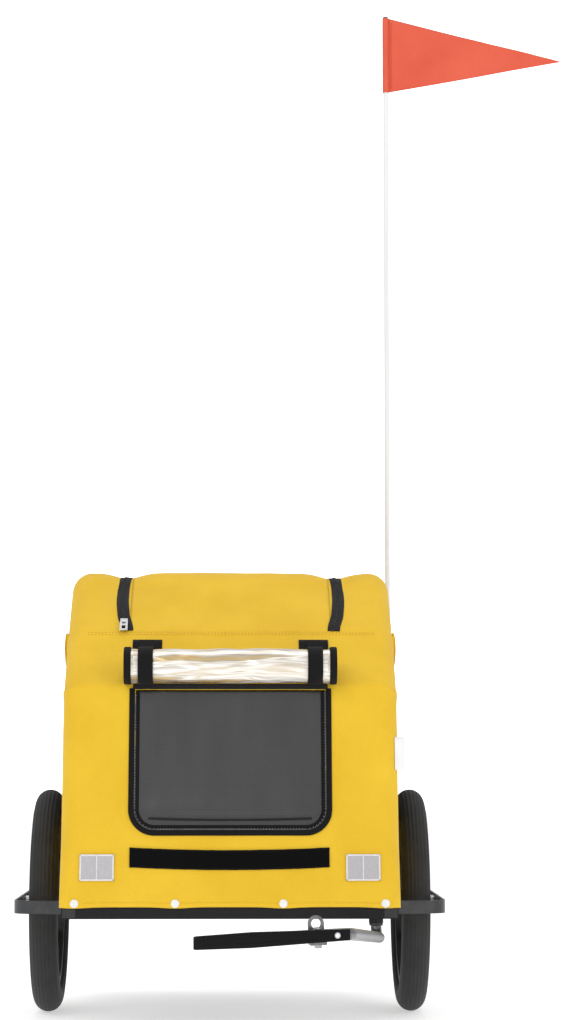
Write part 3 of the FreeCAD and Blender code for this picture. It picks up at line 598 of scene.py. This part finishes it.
skin = mesh_obj("cabin_skin", verts, grid_faces(NT, NC, skip), M["yellow"], uvs, True, "base")
bm = bmesh.new()
bm.from_mesh(skin.data)
bmesh.ops.remove_doubles(bm, verts=bm.verts, dist=0.00005)
bmesh.ops.recalc_face_normals(bm, faces=bm.faces)
bm.to_mesh(skin.data)
bm.free()
thicken(skin, 1.2, -1.0)
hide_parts("cover_front", "cover_roof_left", "cover_roof_right", "cover_roof_rear", "cover_rear", "cover_side_left", "cover_side_right")

# ------------------------------------------------------------------ roof hatch
hv, hu = [], []
HX = np.linspace(-HH, HH, 71)
rows = [i for i in range(i_seam, i_hinge + 1)]
for i in rows:
    for x in HX:
        r = relief(x, i)
        hv.append((x, PY[i] + NY[i] * r, PZ[i] + NZ[i] * r))
        hu.append((x / 1000, ARC[i] / 1000))
hatch = mesh_obj("roof_hatch_cloth", hv, grid_faces(len(rows), len(HX)), M["yellow"], hu, True, "hatch")
bm = bmesh.new()
bm.from_mesh(hatch.data)
bmesh.ops.recalc_face_normals(bm, faces=bm.faces)
if sum(f.normal.z for f in bm.faces) < 0:
    bmesh.ops.reverse_faces(bm, faces=bm.faces)
bm.to_mesh(hatch.data)
bm.free()
thicken(hatch, 1.2, -1.0)
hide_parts("roof_hatch")

# the webbing the door's top edge is sewn to, tucked under the rolled cover
hi = [i for i in range(len(ARC)) if PZ[i] > 457.5][:1][0]
hpath = [(x, PY[hi] + NY[hi] * 0.9, PZ[hi] + NZ[hi] * 0.9) for x in np.linspace(-DH - 2, DH + 2, 81)]
sweep("door_header_webbing", hpath, [(0, NY[hi], NZ[hi])] * len(hpath), flat_section(7.5, 1.2), M["tape"], "base")

# zips on the roof, following the cloth
zv = []
for side in (-1, 1):
    path, ups = [], []
    for i in range(i_seam + 1, i_hinge + 1, 2):
        x = side * (HH + 0.4 + 8.2 + 4.0 * smooth01(ARC[i_seam] + 10, ARC[i_seam] + 90, ARC[i]) - 5.0 * (1 - smooth01(ARC[i_seam], ARC[i_seam] + 40, ARC[i])) - 3.0 * smooth01(ARC[i_seam] + 110, ARC[i_seam] + 170, ARC[i]))
        r = relief(x, i) + 0.35
        path.append((x, PY[i] + NY[i] * r, PZ[i] + NZ[i] * r))
        ups.append((0, NY[i], NZ[i]))
    zt = sweep("roof_zip_tape_%s" % ("left" if side > 0 else "right"), path, ups, flat_section(17, 1.0), M["tape"], "base")
    coil = []
    for q in range(len(path) - 1):
        a, b = Vector(path[q]), Vector(path[q + 1])
        n = max(1, int((b - a).length / 2.6))
        for w in range(n):
            c = a.lerp(b, w / n) + Vector(ups[q]) * 1.4
            t = (b - a).normalized()
            sgn = 1 if (w % 2) else -1
            coil.append(brick(c + Vector((sgn * 1.0, 0, 0)), (1, 0, 0), t, Vector(ups[q]), 1.5, 0.55, 0.5))
    cz_ = joined("roof_zip_coil_%s" % ("left" if side > 0 else "right"), coil, M["plastic"], "base", False)
    zv += [zt, cz_]
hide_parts("roof_zips")

# ------------------------------------------------------------------ front door: film-backed mesh, bound edge and its zip
def lattice(half, lo, hi, crn, nx, ns, out_fn):
    """A grid over the door's outline, squeezed in at its lower corners."""
    v, u = [], []
    for a in range(ns + 1):
        s = lo + (hi - lo) * a / ns
        h = half
        if s < lo + crn:
            q = lo + crn - s
            h = half - crn + math.sqrt(max(0.0, crn * crn - q * q))
        for b in range(nx + 1):
            x = -h + 2 * h * b / nx
            v.append(on_front(x, s, out_fn(x, s)))
            u.append((x / 1000, s / 1000))
    return v, u


def door_out(x, s):
    e = min(1.0, (DH - abs(x)) / 30.0) * min(1.0, (s - DLO) / 26.0)
    e = max(0.0, e)
    belly = 2.2 * math.exp(-((s - 117) / 16.0) ** 2) * e
    fold = -1.6 * math.exp(-((s - 109) / 5.0) ** 2) * e
    return -2.0 + belly + fold + 1.1 * e * rnd(x, s, 4.0, 0.012) + 0.5 * e * rnd(x, s * 0.3, 2.0, 0.05)


lv, lu = lattice(DH - 5.0, DLO + 5.0, DHI - 3.5, DCR - 4, 76, 56, door_out)
panel = mesh_obj("door_mesh_panel", lv, grid_faces(57, 77), M["mesh"], lu, True, "front_door")
thicken(panel, 0.8, 0.0)
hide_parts("door_mesh")

# turned-up pocket line near the door's foot
pocket = sweep("door_fold_edge", [on_front(x, 106.5 - 2.0 * (1 - (x / 114) ** 2), 0.2) for x in np.linspace(-108, 108, 57)], [FN] * 57, flat_section(2.4, 1.0), M["tape"], "front_door")


def band_path(half, lo, hi, crn, out, step=4.0):
    pts = door_path(half, lo, hi, crn, step)
    return [on_front(x, s, out) for x, s in pts]


pth = band_path(DH - 3.5, DLO + 4.0, DHI - 5.0, DCR - 3, -1.6)
inner = sweep("door_binding", pth, [FN] * len(pth), [(-3.2, 0.0), (3.2, 0.0), (3.4, 1.0), (2.2, 2.0), (-2.2, 2.0), (-3.4, 1.0)], M["trim"], "front_door")
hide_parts("door_zip_edge")
pth = band_path(DH + 3.0, DLO - 3.0, DHI - 1.0, DCR + 3, 0.5)
outer = sweep("door_zip_tape_cloth", pth, [FN] * len(pth), [(-3.6, 0.0), (3.6, 0.0), (3.8, 0.9), (2.6, 2.0), (-2.6, 2.0), (-3.8, 0.9)], M["trim"], "base")
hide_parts("door_zip_tape")
teeth = []
tp = [Vector(p) for p in band_path(DH - 0.9, DLO + 1.2, DHI - 6, DCR - 0.5, 0.9, 1.0)]
acc, last = 0.0, tp[0]
flip = 1
for a, b in zip(tp[:-1], tp[1:]):
    acc += (b - a).length
    if acc >= 1.9:
        acc = 0.0
        t = (b - a).normalized()
        side = t.cross(Vector(FN)).normalized()
        teeth.append(brick(b + side * 0.55 * flip, side, t, Vector(FN), 1.25, 0.55, 0.55))
        flip = -flip
M["teeth"] = solid_mat("zip_teeth", srgb(132, 132, 134), srgb(96, 96, 98), 0.4, 0.2, 300, 0.08, 0.0001)
joined("door_zip_teeth", teeth, M["teeth"], "front_door", False)

# hook-and-loop strip, sagging slightly in its middle
gv, gu = [], []
for a in range(9):
    for b in range(67):
        x = -132.3 + 263 * b / 66
        s = 41.6 + 26 * a / 8 - 3.6 * (1 - ((x + 0.8) / 131.5) ** 2) + (0.25 * rnd(x, a, 2.2, 0.2) if a in (0, 8) else 0)
        i = int(np.argmin(abs(PZ - (180 + s * math.sin(AL))) + (PY > 100) * 1000))
        gv.append(on_front(x, s, relief(x, i) + 1.0 + 0.3 * math.sin(a / 8 * math.pi)))
        gu.append((x / 1000, s / 1000))
M["loop"] = fabric("loop_pile", srgb(10, 10, 11), srgb(6, 6, 7), 1800, 0.04, 0.95, uv=True, crease=0.1, spec=0.1)
grip = thicken(mesh_obj("closure_strip_cloth", gv, grid_faces(9, 67), M["loop"], gu, True, "base"), 1.2, 0.0)
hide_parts("closure_strip")

# reflectors: a raised border with a rib down the middle, near-white as a painted highlight, and two prismatic cells
# the border's near-white colour is a painted highlight on its raised edge and rib
M["rim"] = solid_mat("reflector_border", srgb(228, 226, 228), srgb(212, 210, 212), 0.35, 0.1, 200, 0.05, 0.0001, 0.4)
for sx in (-1, 1):
    nm = "left" if sx > 0 else "right"
    c = Vector(on_front(sx * 175, 41.0, 0.4))
    X, U, F = Vector((1, 0, 0)), Vector(FU), Vector(FN)
    c = Vector(on_front(sx * 175, 24.0 + 17.0, 0.6))
    bars = [brick(c + U * 16.2 + F * 1.5, X, U, F, 22.6, 1.2, 1.5), brick(c - U * 16.2 + F * 1.5, X, U, F, 22.6, 1.2, 1.5),
            brick(c + X * 21.4 + F * 1.5, X, U, F, 1.2, 17.4, 1.5), brick(c - X * 21.4 + F * 1.5, X, U, F, 1.2, 17.4, 1.5), brick(c + F * 1.6, X, U, F, 0.9, 17.0, 1.6)]
    ro = joined("reflector_border_" + nm, bars, M["rim"], "base", False)
    bv = ro.modifiers.new("Soft", "BEVEL")
    bv.width = 0.0005
    bv.segments = 2
    cells = []
    for k in (-1, 1):
        cells.append(brick(c + X * 10.7 * k + F * 1.1, X, U, F, 10.2, 15.4, 1.0))
    rc = joined("reflector_cells_" + nm, cells, M["reflect"], "base", False)
    if sx > 0:
        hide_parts("reflectors")


# press studs: domed caps with a rolled rim
def dome_shell(c, axis, r, h):
    axis = Vector(axis)
    a = Vector((0, 0, 1)) if abs(axis.z) < 0.9 else Vector((1, 0, 0))
    u = axis.cross(a).normalized()
    w = axis.cross(u).normalized()
    prof2 = [(r, 0.0), (r, h * 0.35), (r * 0.93, h * 0.6), (r * 0.8, h * 0.62), (r * 0.7, h * 0.72), (r * 0.45, h * 0.95), (0.001, h)]
    v, f, n = [], [], 20
    for q, hh in prof2:
        for k in range(n):
            t = 2 * math.pi * k / n
            v.append(tuple(Vector(c) + u * q * math.cos(t) + w * q * math.sin(t) + axis * hh))
    for a2 in range(len(prof2) - 1):
        for k in range(n):
            f.append((a2 * n + k, a2 * n + (k + 1) % n, (a2 + 1) * n + (k + 1) % n, (a2 + 1) * n + k))
    return v, f


caps = []
for x in SNAPS:
    caps.append(dome_shell((x, 0.2, 174.2), (0, -1, 0), 5.6, 3.0))
    caps.append(dome_shell((x, 699.8, 174.2), (0, 1, 0), 5.6, 3.0))
for sx in (-1, 1):
    for y in (14, 120, 300, 460, 640):
        caps.append(dome_shell((sx * (HALF - (9.0 if y < 20 else 0.2)), y, 177.0), (sx, 0, 0) if y > 20 else Vector((sx, -0.55, 0)).normalized(), 5.6, 3.0))
studs = joined("cover_stud_caps", caps, M["white"], "base")
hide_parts("cover_studs")

# ------------------------------------------------------------------ rolled rain cover, its end bindings, straps and T patches
RY, RZ, RR = 37.0, 486.6, 23.8
NU, NV = 90, 64
rv, ru = [], []
for a in range(NU + 1):
    x = -135.5 + 271.0 * a / NU
    for b in range(NV):
        th = 2 * math.pi * b / NV
        spiral = -1.5 * ((b / NV + 0.36) % 1.0)
        w = 1.0 * noise.noise(Vector((x * 0.020, math.cos(th) * 1.6, math.sin(th) * 1.6))) + 0.5 * noise.noise(Vector((x * 0.05, math.cos(th) * 3.5, math.sin(th) * 3.5 + 5)))
        pinch = -1.2 * sum(math.exp(-((x - q) / 13.0) ** 2) for q in (-113, 113))
        r = RR - 0.4 + spiral + 1.6 * w + pinch
        rv.append((x, RY + r * math.cos(th), RZ + r * math.sin(th)))
        ru.append((x / 1000, th * 0.024))
faces = grid_faces(NU + 1, NV, wrap=True)
roll = mesh_obj("rain_cover_rolled", rv, faces, M["vinyl"], ru, True, "base")
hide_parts("rain_cover_roll")
for sx in (-1, 1):
    # the spiral seen in the roll's end
    path, ups = [], []
    n = 150
    for k in range(n):
        th = 2 * math.pi * k / n * 5.0
        r = 22.4 - 19.0 * k / n
        path.append((sx * 135.5, RY + r * math.cos(th + 2.2), RZ + r * math.sin(th + 2.2)))
        ups.append((sx, 0, 0))
    sweep("roll_spiral_%s" % ("left" if sx > 0 else "right"), path, ups, [(-0.5, -6), (0.5, -6), (0.5, 1.4), (-0.5, 1.4)], M["vinyl"], "base")
    path = []
    ups = []
    for k in range(64):
        th = 2 * math.pi * k / 64
        r = RR + 0.7 + 0.5 * noise.noise(Vector((math.cos(th) * 1.5, math.sin(th) * 1.5, sx)))
        path.append((sx * 137.0, RY + r * math.cos(th), RZ + r * math.sin(th)))
        ups.append((0, math.cos(th), math.sin(th)))
    e = sweep("roll_end_binding_%s" % ("left" if sx > 0 else "right"), path, ups, [(-4.6, -1.6), (4.6, -1.6), (4.8, -0.2), (3.4, 0.7), (-3.4, 0.7), (-4.8, -0.2)], M["trim"], "base", closed=True)
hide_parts("rain_cover_bindings")
SL = Vector((0, 80, 75)).normalized()
SN = Vector((0, -75, 80)).normalized()
for sx in (-1, 1):
    nm = "left" if sx > 0 else "right"
    path, ups = [], []
    base = Vector((sx * 113, 50, 462))
    start = base + SL * 88 + SN * 1.6
    for k in range(14):
        q = base + SL * (88 - 52 * k / 13) + SN * (1.6 + 1.3 * math.sin(k / 13 * math.pi * 0.5))
        path.append(tuple(q))
        ups.append(tuple(SN))
    # over the front of the roll and back underneath it
    a0, a1 = math.radians(78), math.radians(318)
    for k in range(40):
        th = a0 + (a1 - a0) * k / 39
        path.append((sx * 113, RY + (RR + 0.2) * math.cos(th), RZ + (RR + 0.2) * math.sin(th)))
        ups.append((0, math.cos(th), math.sin(th)))
    s = sweep("roll_strap_%s" % nm, path, ups, flat_section(20, 1.3), M["trim"], "base")
    patch = []
    pv, pu = [], []
    for a in range(5):
        for b in range(11):
            x = sx * 113 - 20 + 40 * b / 10
            q = Vector((x, 50, 462)) + SL * (67 + 23 * a / 4) + SN * (0.9 + 0.5 * math.sin(a / 4 * math.pi) * math.sin(b / 10 * math.pi))
            pv.append(tuple(q))
            pu.append((x / 1000, a * 0.0055))
    t = thicken(mesh_obj("strap_patch_%s" % nm, pv, grid_faces(5, 11), M["trim"], pu, True, "base"), 1.1, 0.0)
    st = []
    for xx in (-17, 17):
        for q in range(5):
            st.append(brick(Vector((sx * 113 + xx, 50, 462)) + SL * (70 + 4.2 * q) + SN * 2.0, (1, 0, 0), SL, SN, 0.3, 1.3, 0.3))
    joined("strap_patch_stitches_%s" % nm, st, M["tape"], "base", False)
    if sx > 0:
        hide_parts("strap_patches")
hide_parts("roll_straps")

# ------------------------------------------------------------------ side windows, their bindings and rolled flaps
for sx in (-1, 1):
    nm = "left" if sx > 0 else "right"
    wl = ring(grown(WIN, 2.0, (354, 385)), 31)
    cx, cz = 354.0, 385.0
    v, u, f = [], [], []
    R = 16
    n = len(wl)
    for a in range(R + 1):
        q = a / R
        for (y, z) in wl:
            yy, zz = cx + (y - cx) * q, cz + (z - cz) * q
            bow = -3.0 * (1 - q * q) + 0.8 * rnd(yy, zz, 8.0, 0.015) * (1 - q)
            v.append((sx * (HALF - 0.4 + bow), yy, zz))
            u.append((yy / 1000, zz / 1000))
    f = grid_faces(R + 1, n, wrap=True)
    w = mesh_obj("side_window_%s" % nm, v, f, M["mesh"], u, True, "base")
    bm = bmesh.new()
    bm.from_mesh(w.data)
    bmesh.ops.remove_doubles(bm, verts=bm.verts, dist=0.00002)
    bmesh.ops.recalc_face_normals(bm, faces=bm.faces)
    bm.to_mesh(w.data)
    bm.free()
    thicken(w, 0.8, 0.0)
    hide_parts("side_window_mesh_" + nm)
    loop = ring(grown(WIN, 1.0, (354, 385)), 31)
    path = [(sx * (HALF + 0.2 + 0.5 * rnd(y, z, 3.0, 0.02) + 2.6 * math.exp(-(((y - 208) / 26) ** 2 + ((z - 450) / 20) ** 2))), y, z) for y, z in loop]
    b = sweep("side_window_binding_%s" % nm, path, [(sx, 0, 0)] * len(path), [(-6.2, 0.0), (6.2, 0.0), (6.4, 1.0), (4.8, 2.2), (-4.8, 2.2), (-6.4, 1.0)], M["trim"], "base", closed=True)
    if sx > 0:
        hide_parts("side_window_bindings")
    # flap rolled up over the window and tied twice
    v, u = [], []
    for a in range(81):
        y = 187 + 316 * a / 80
        tight = 1 - 0.16 * sum(math.exp(-((y - q) / 9.0) ** 2) for q in (262, 428))
        for b2 in range(28):
            th = 2 * math.pi * b2 / 28
            w2 = 0.6 * noise.noise(Vector((y * 0.02, math.cos(th) * 1.4, math.sin(th) * 1.4 + sx * 4)))
            v.append((sx * (HALF + 3.2 + (3.1 + w2) * math.cos(th) * tight), y, FLZ + (FLH + w2 * 2) * math.sin(th) * tight))
            u.append((y / 1000, th * 0.01))
    fl = mesh_obj("side_flap_rolled_%s" % nm, v, grid_faces(81, 28, wrap=True) + [tuple(range(28)), tuple(reversed(range(80 * 28, 81 * 28)))], M["yellow"], u, True, "base")
    for q in (262, 428):
        path, ups = [], []
        for k in range(30):
            th = 2 * math.pi * k / 30
            path.append((sx * (HALF + 3.2 + 3.1 * math.cos(th)), q, FLZ + (FLH - 2.0) * math.sin(th)))
            ups.append((sx * math.cos(th), 0, math.sin(th)))
        sweep("side_flap_tie_%s_%d" % (nm, q), path, ups, flat_section(12, 1.0), M["trim"], "base", closed=True)
    if sx > 0:
        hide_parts("side_flap_rolls")

# ------------------------------------------------------------------ blank sewn label standing out of the front-left edge
v, u = [], []
for a in range(9):
    for b in range(13):
        q = a / 8
        z = 348 + 44 * b / 12
        x = 219.6 + 13.6 * q
        y = 41.0 + 0.177 * (z - 348) + 8.0 * q + 1.4 * math.sin(q * 2.6) + 0.8 * rnd(a, b, 1.0, 0.2)
        v.append((x, y, z))
        u.append((x / 1000, z / 1000))
label = thicken(mesh_obj("blank_sewn_label", v, grid_faces(9, 13), M["label"], u, True, "base"), 0.7, 0.0)
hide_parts("blank_tag")

# ------------------------------------------------------------------ stitching
def stitches(name, path, up, mat, body, gap=4.6, length=2.6):
    parts, acc = [], 0.0
    for q in range(len(path) - 1):
        a, b = Vector(path[q]), Vector(path[q + 1])
        acc += (b - a).length
        if acc >= gap:
            acc = 0.0
            t = (b - a).normalized()
            n = Vector(up[q])
            s = t.cross(n).normalized()
            parts.append(brick(b + n * 0.15, s, t, n, 0.3, length / 2, 0.3))
    return joined(name, parts, mat, body, False)


M["thread"] = fabric("thread", srgb(226, 184, 44), srgb(214, 170, 34), 3000, 0.1, 0.8, uv=False, crease=0.02)
for k, off in enumerate((-5.0, -8.2)):
    i = int(np.argmin(abs(ARC - (ARC[i_seam] + off))))
    pts = [(x, PY[i] + NY[i] * (relief(x, i) + 0.1), PZ[i] + NZ[i] * (relief(x, i) + 0.1)) for x in np.arange(-HALF + 26, HALF - 26, 1.15)]
    stitches("seam_stitches_%d" % k, pts, [(0, NY[i], NZ[i])] * len(pts), M["thread"], "base")
for off, mat, nm in ((DH + 4.2, M["tape"], "door_ring_stitches"),):
    pts = band_path(off, DLO - 4.2, DHI - 3, DCR + 4, 2.5, 1.0)
    stitches(nm, pts, [FN] * len(pts), mat, "base", 3.6, 2.0)
i = int(np.argmin(abs(ARC - 8.0)))
pts = [(x, PY[i] + NY[i] * (relief(x, i) + 0.1), PZ[i] + hem_lift(x, i, SNAPS)) for x in np.arange(-EDGE, EDGE, 1.15)]
stitches("hem_stitches", pts, [(0, NY[i], NZ[i])] * len(pts), M["thread"], "base")
for sgn in (-1, 1):
    for e in (0,):
        edge_pts = [on_front(-132.3 + 263 * k / 240, 41.6 + (1.6 if sgn < 0 else 24.4) - 3.6 * (1 - ((-132.3 + 263 * k / 240 + 0.8) / 131.5) ** 2), 1.9) for k in range(241)]
        stitches("closure_stitches_%s" % ("top" if sgn > 0 else "bottom"), edge_pts, [FN] * 241, M["tape"], "base", 3.4, 2.0)

# ------------------------------------------------------------------ pennant: a hemmed triangle with a slight ripple
MX, MY, MT = 245.0, 625.0, 1538.0
FH, FL = 123.0, 282.0
v, u = [], []
NA, NB = 60, 22
for a in range(NA + 1):
    q = a / NA
    for b in range(NB + 1):
        w = b / NB
        zc = MT - FH + 0.42 * FH
        z0, z1 = MT - FH + 1.0, MT - 1.5
        z = (z0 + (z1 - z0) * w) * (1 - q) + zc * q
        x = MX + 3.8 + (FL - 5.0) * q
        y = MY + 5.5 * q * math.sin(q * 5.2 + 0.5) * 0.7 + 1.2 * q * rnd(x, z, 1.0, 0.03) + 0.6
        v.append((x, y, z))
        u.append((x / 1000, z / 1000))
flag = thicken(mesh_obj("pennant_cloth", v, grid_faces(NA + 1, NB + 1), M["flag"], u, True, "flag_mast"), 0.5, 0.0)
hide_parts("flag")
sl = []
v, u = [], []
for a in range(40):
    z = MT - FH + 0.5 + (FH - 2.5) * a / 39
    for b in range(24):
        th = 2 * math.pi * b / 24
        r = 4.75 + 0.25 * noise.noise(Vector((z * 0.05, math.cos(th), math.sin(th))))
        v.append((MX + r * math.cos(th), MY + r * math.sin(th), z))
        u.append((th * 0.005, z / 1000))
sleeve = thicken(mesh_obj("pennant_sleeve", v, grid_faces(40, 24, wrap=True), M["flag"], u, True, "flag_mast"), 0.4, 0.0)
M["fthread"] = fabric("flag_thread", srgb(196, 74, 54), srgb(184, 66, 48), 3000, 0.1, 0.8, uv=False, crease=0.02)
pts = [(MX + 9.0, MY - 0.2, z) for z in np.arange(MT - FH + 5, MT - 6, 1.0)]
stitches("pennant_stitches", pts, [(0, -1, 0)] * len(pts), M["fthread"], "flag_mast", 3.4, 2.0)

# ------------------------------------------------------------------ coupling strap: webbing look over the stiff core
AX0, AX1 = Vector((133, -535, 170.3)), Vector((64, -545, 167.3))


def along(x):
    return AX0 + (AX1 - AX0) * ((x - AX0.x) / (AX1.x - AX0.x))


ad = (AX1 - AX0).normalized()
sd = Vector((-ad.y, ad.x, 0)).normalized()
if sd.y > 0:
    sd = -sd
spath, sups, swid = [], [], []
sv, su = [], []
for a in range(88):
    x = 131.2 - 172.4 * a / 87
    if x > 22:
        h = 6.2 + 2.6 * (131.2 - x) / 109.2
    else:
        h = 8.8 - 1.3 * (22 - x) / 63.0
    if x < -39.4:
        h *= 0.90
    c = along(x)
    for b in range(20):
        th = 2 * math.pi * b / 20
        # flattened section with rounded edges
        cu, su_ = math.cos(th), math.sin(th)
        up = h * math.copysign(abs(cu) ** 0.35, cu)
        out = 2.15 * math.copysign(abs(su_) ** 0.5, su_)
        p = c + sd * (7.05 + 2.15 + out + 0.25 * rnd(x, b, 1.0, 0.15)) + Vector((0, 0, up))
        sv.append(tuple(p))
        su.append((x / 1000, th * 0.006))
fc = grid_faces(88, 20, wrap=True) + [tuple(range(20)), tuple(reversed(range(87 * 20, 88 * 20)))]
strap = mesh_obj("coupling_strap_webbing", sv, fc, M["trim"], su, True, "tow_arm")
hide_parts("coupling_strap")
bx = []
for off in (-4.6, 4.6):
    pts = [tuple(along(x) + sd * 11.6 + Vector((0, 0, off))) for x in np.arange(124, -34, -1.0)]
    stitches("strap_stitches_%d" % int(off > 0), pts, [tuple(sd)] * len(pts), M["tape"], "tow_arm", 3.4, 2.0)

# rivet's face: a white dome over the zinc rivet as its painted glint
v, f = dome_shell(along(117) + sd * 11.4, sd, 3.4, 1.5)
joined("strap_rivet_painted_glint", [(v, f)], M["white"], "tow_arm")

# ------------------------------------------------------------------ finishes on the CAD nodes
FIN = {
    "black": ["side_rail_left", "side_rail_right", "front_rail", "rear_rail", "middle_rail", "tow_arm_bracket"],
    "board": ["floor_panel"], "tube": ["tow_arm", "front_hoop", "rear_hoop", "hitch_plate"],
    "zinc": ["hoop_brackets", "hoop_pivot_bolts", "axles", "axle_nuts_and_spacers", "guard_bolts", "roof_zip_slider", "roof_zip_pull", "hitch_bolt", "strap_rivet"],
    "tyre": ["tyre_left", "tyre_right"], "guard": ["wheel_guard_left", "wheel_guard_right"],
    "plastic": ["wheel_rim_left", "wheel_rim_right", "hub_bushes_left", "hub_bushes_right", "mast_socket", "mast_tip_cap", "tow_arm_stops", "rail_end_plugs"],
    "mast": ["mast_lower_tube", "mast_upper_tube"],
}
for key, names in FIN.items():
    for nm in names:
        o = nodes[nm]
        for s in range(max(1, len(o.material_slots))):
            if not o.material_slots:
                o.data.materials.append(M[key])
            else:
                o.material_slots[s].material = M[key]

# ------------------------------------------------------------------ studio
fm, nt, b = new_mat("pale_floor")
nt.links.new(ramp(nt, noise_tex(nt, coords(nt), 3.0, 3.0), [(0.3, srgb(240, 240, 240)), (0.7, srgb(244, 244, 244))]), b.inputs["Base Color"])
b.inputs["Roughness"].default_value = 0.8
b.inputs["Specular IOR Level"].default_value = 0.1
bpy.ops.mesh.primitive_plane_add(size=30, location=(0, 0, -0.0005))
floor = bpy.context.object
floor.name = "studio_floor"
floor.data.materials.append(fm)
bm_, nt2, b2 = new_mat("white_backdrop")
b2.inputs["Base Color"].default_value = (1, 1, 1, 1)
b2.inputs["Emission Color"].default_value = (1, 1, 1, 1)
b2.inputs["Emission Strength"].default_value = 1.0
b2.inputs["Roughness"].default_value = 1.0
bpy.ops.mesh.primitive_uv_sphere_add(segments=48, ring_count=24, radius=14.0, location=(0, 0, 0))
back = bpy.context.object
back.name = "studio_backdrop"
back.data.materials.append(bm_)
back.visible_diffuse = back.visible_glossy = back.visible_transmission = back.visible_shadow = False
b.inputs["Emission Color"].default_value = (1, 1, 1, 1)
b.inputs["Emission Strength"].default_value = 0.52
w = bpy.data.worlds.new("studio")
bpy.context.scene.world = w
w.use_nodes = True
bg = w.node_tree.nodes["Background"]
bg.inputs["Color"].default_value = (1, 1, 1, 1)
bg.inputs["Strength"].default_value = 0.66


def area(name, loc, target, size, power):
    l = bpy.data.lights.new(name, "AREA")
    l.shape = "RECTANGLE"
    l.size, l.size_y = size
    l.energy = power
    o = bpy.data.objects.new(name, l)
    bpy.context.scene.collection.objects.link(o)
    o.location = loc
    o.rotation_euler = (Vector(target) - Vector(loc)).to_track_quat("-Z", "Y").to_euler()
    return o


area("key_soft", (-1.6, -3.2, 2.6), (-0.1, 0.1, 0.4), (2.2, 1.6), 27)
area("fill_soft", (2.4, -2.8, 1.6), (-0.1, 0.1, 0.4), (2.0, 1.6), 16)
area("top_soft", (-0.1, 0.3, 3.4), (-0.1, 0.2, 0.4), (2.4, 2.4), 21)

cam = bpy.data.cameras.new("camera")
co = bpy.data.objects.new("camera", cam)
bpy.context.scene.collection.objects.link(co)
bpy.context.scene.camera = co
cam.sensor_width = 36.0
cam.sensor_fit = "AUTO"
cam.lens = 2648 / 1020 * 36
cam.clip_end = 60
mid = P(0, 0, 0)
co.location = (mid[0], mid[1] - 3.5, 0.368)
yaw = math.atan2(50.0, 2648.0)
pitch = math.atan2(245.0, 2648.0)
aim = Vector((math.tan(yaw), 1.0, math.tan(pitch)))
co.rotation_euler = aim.to_track_quat("-Z", "Y").to_euler()
bpy.context.scene.view_settings.view_transform = "Standard"

bpy.context.view_layer.update()
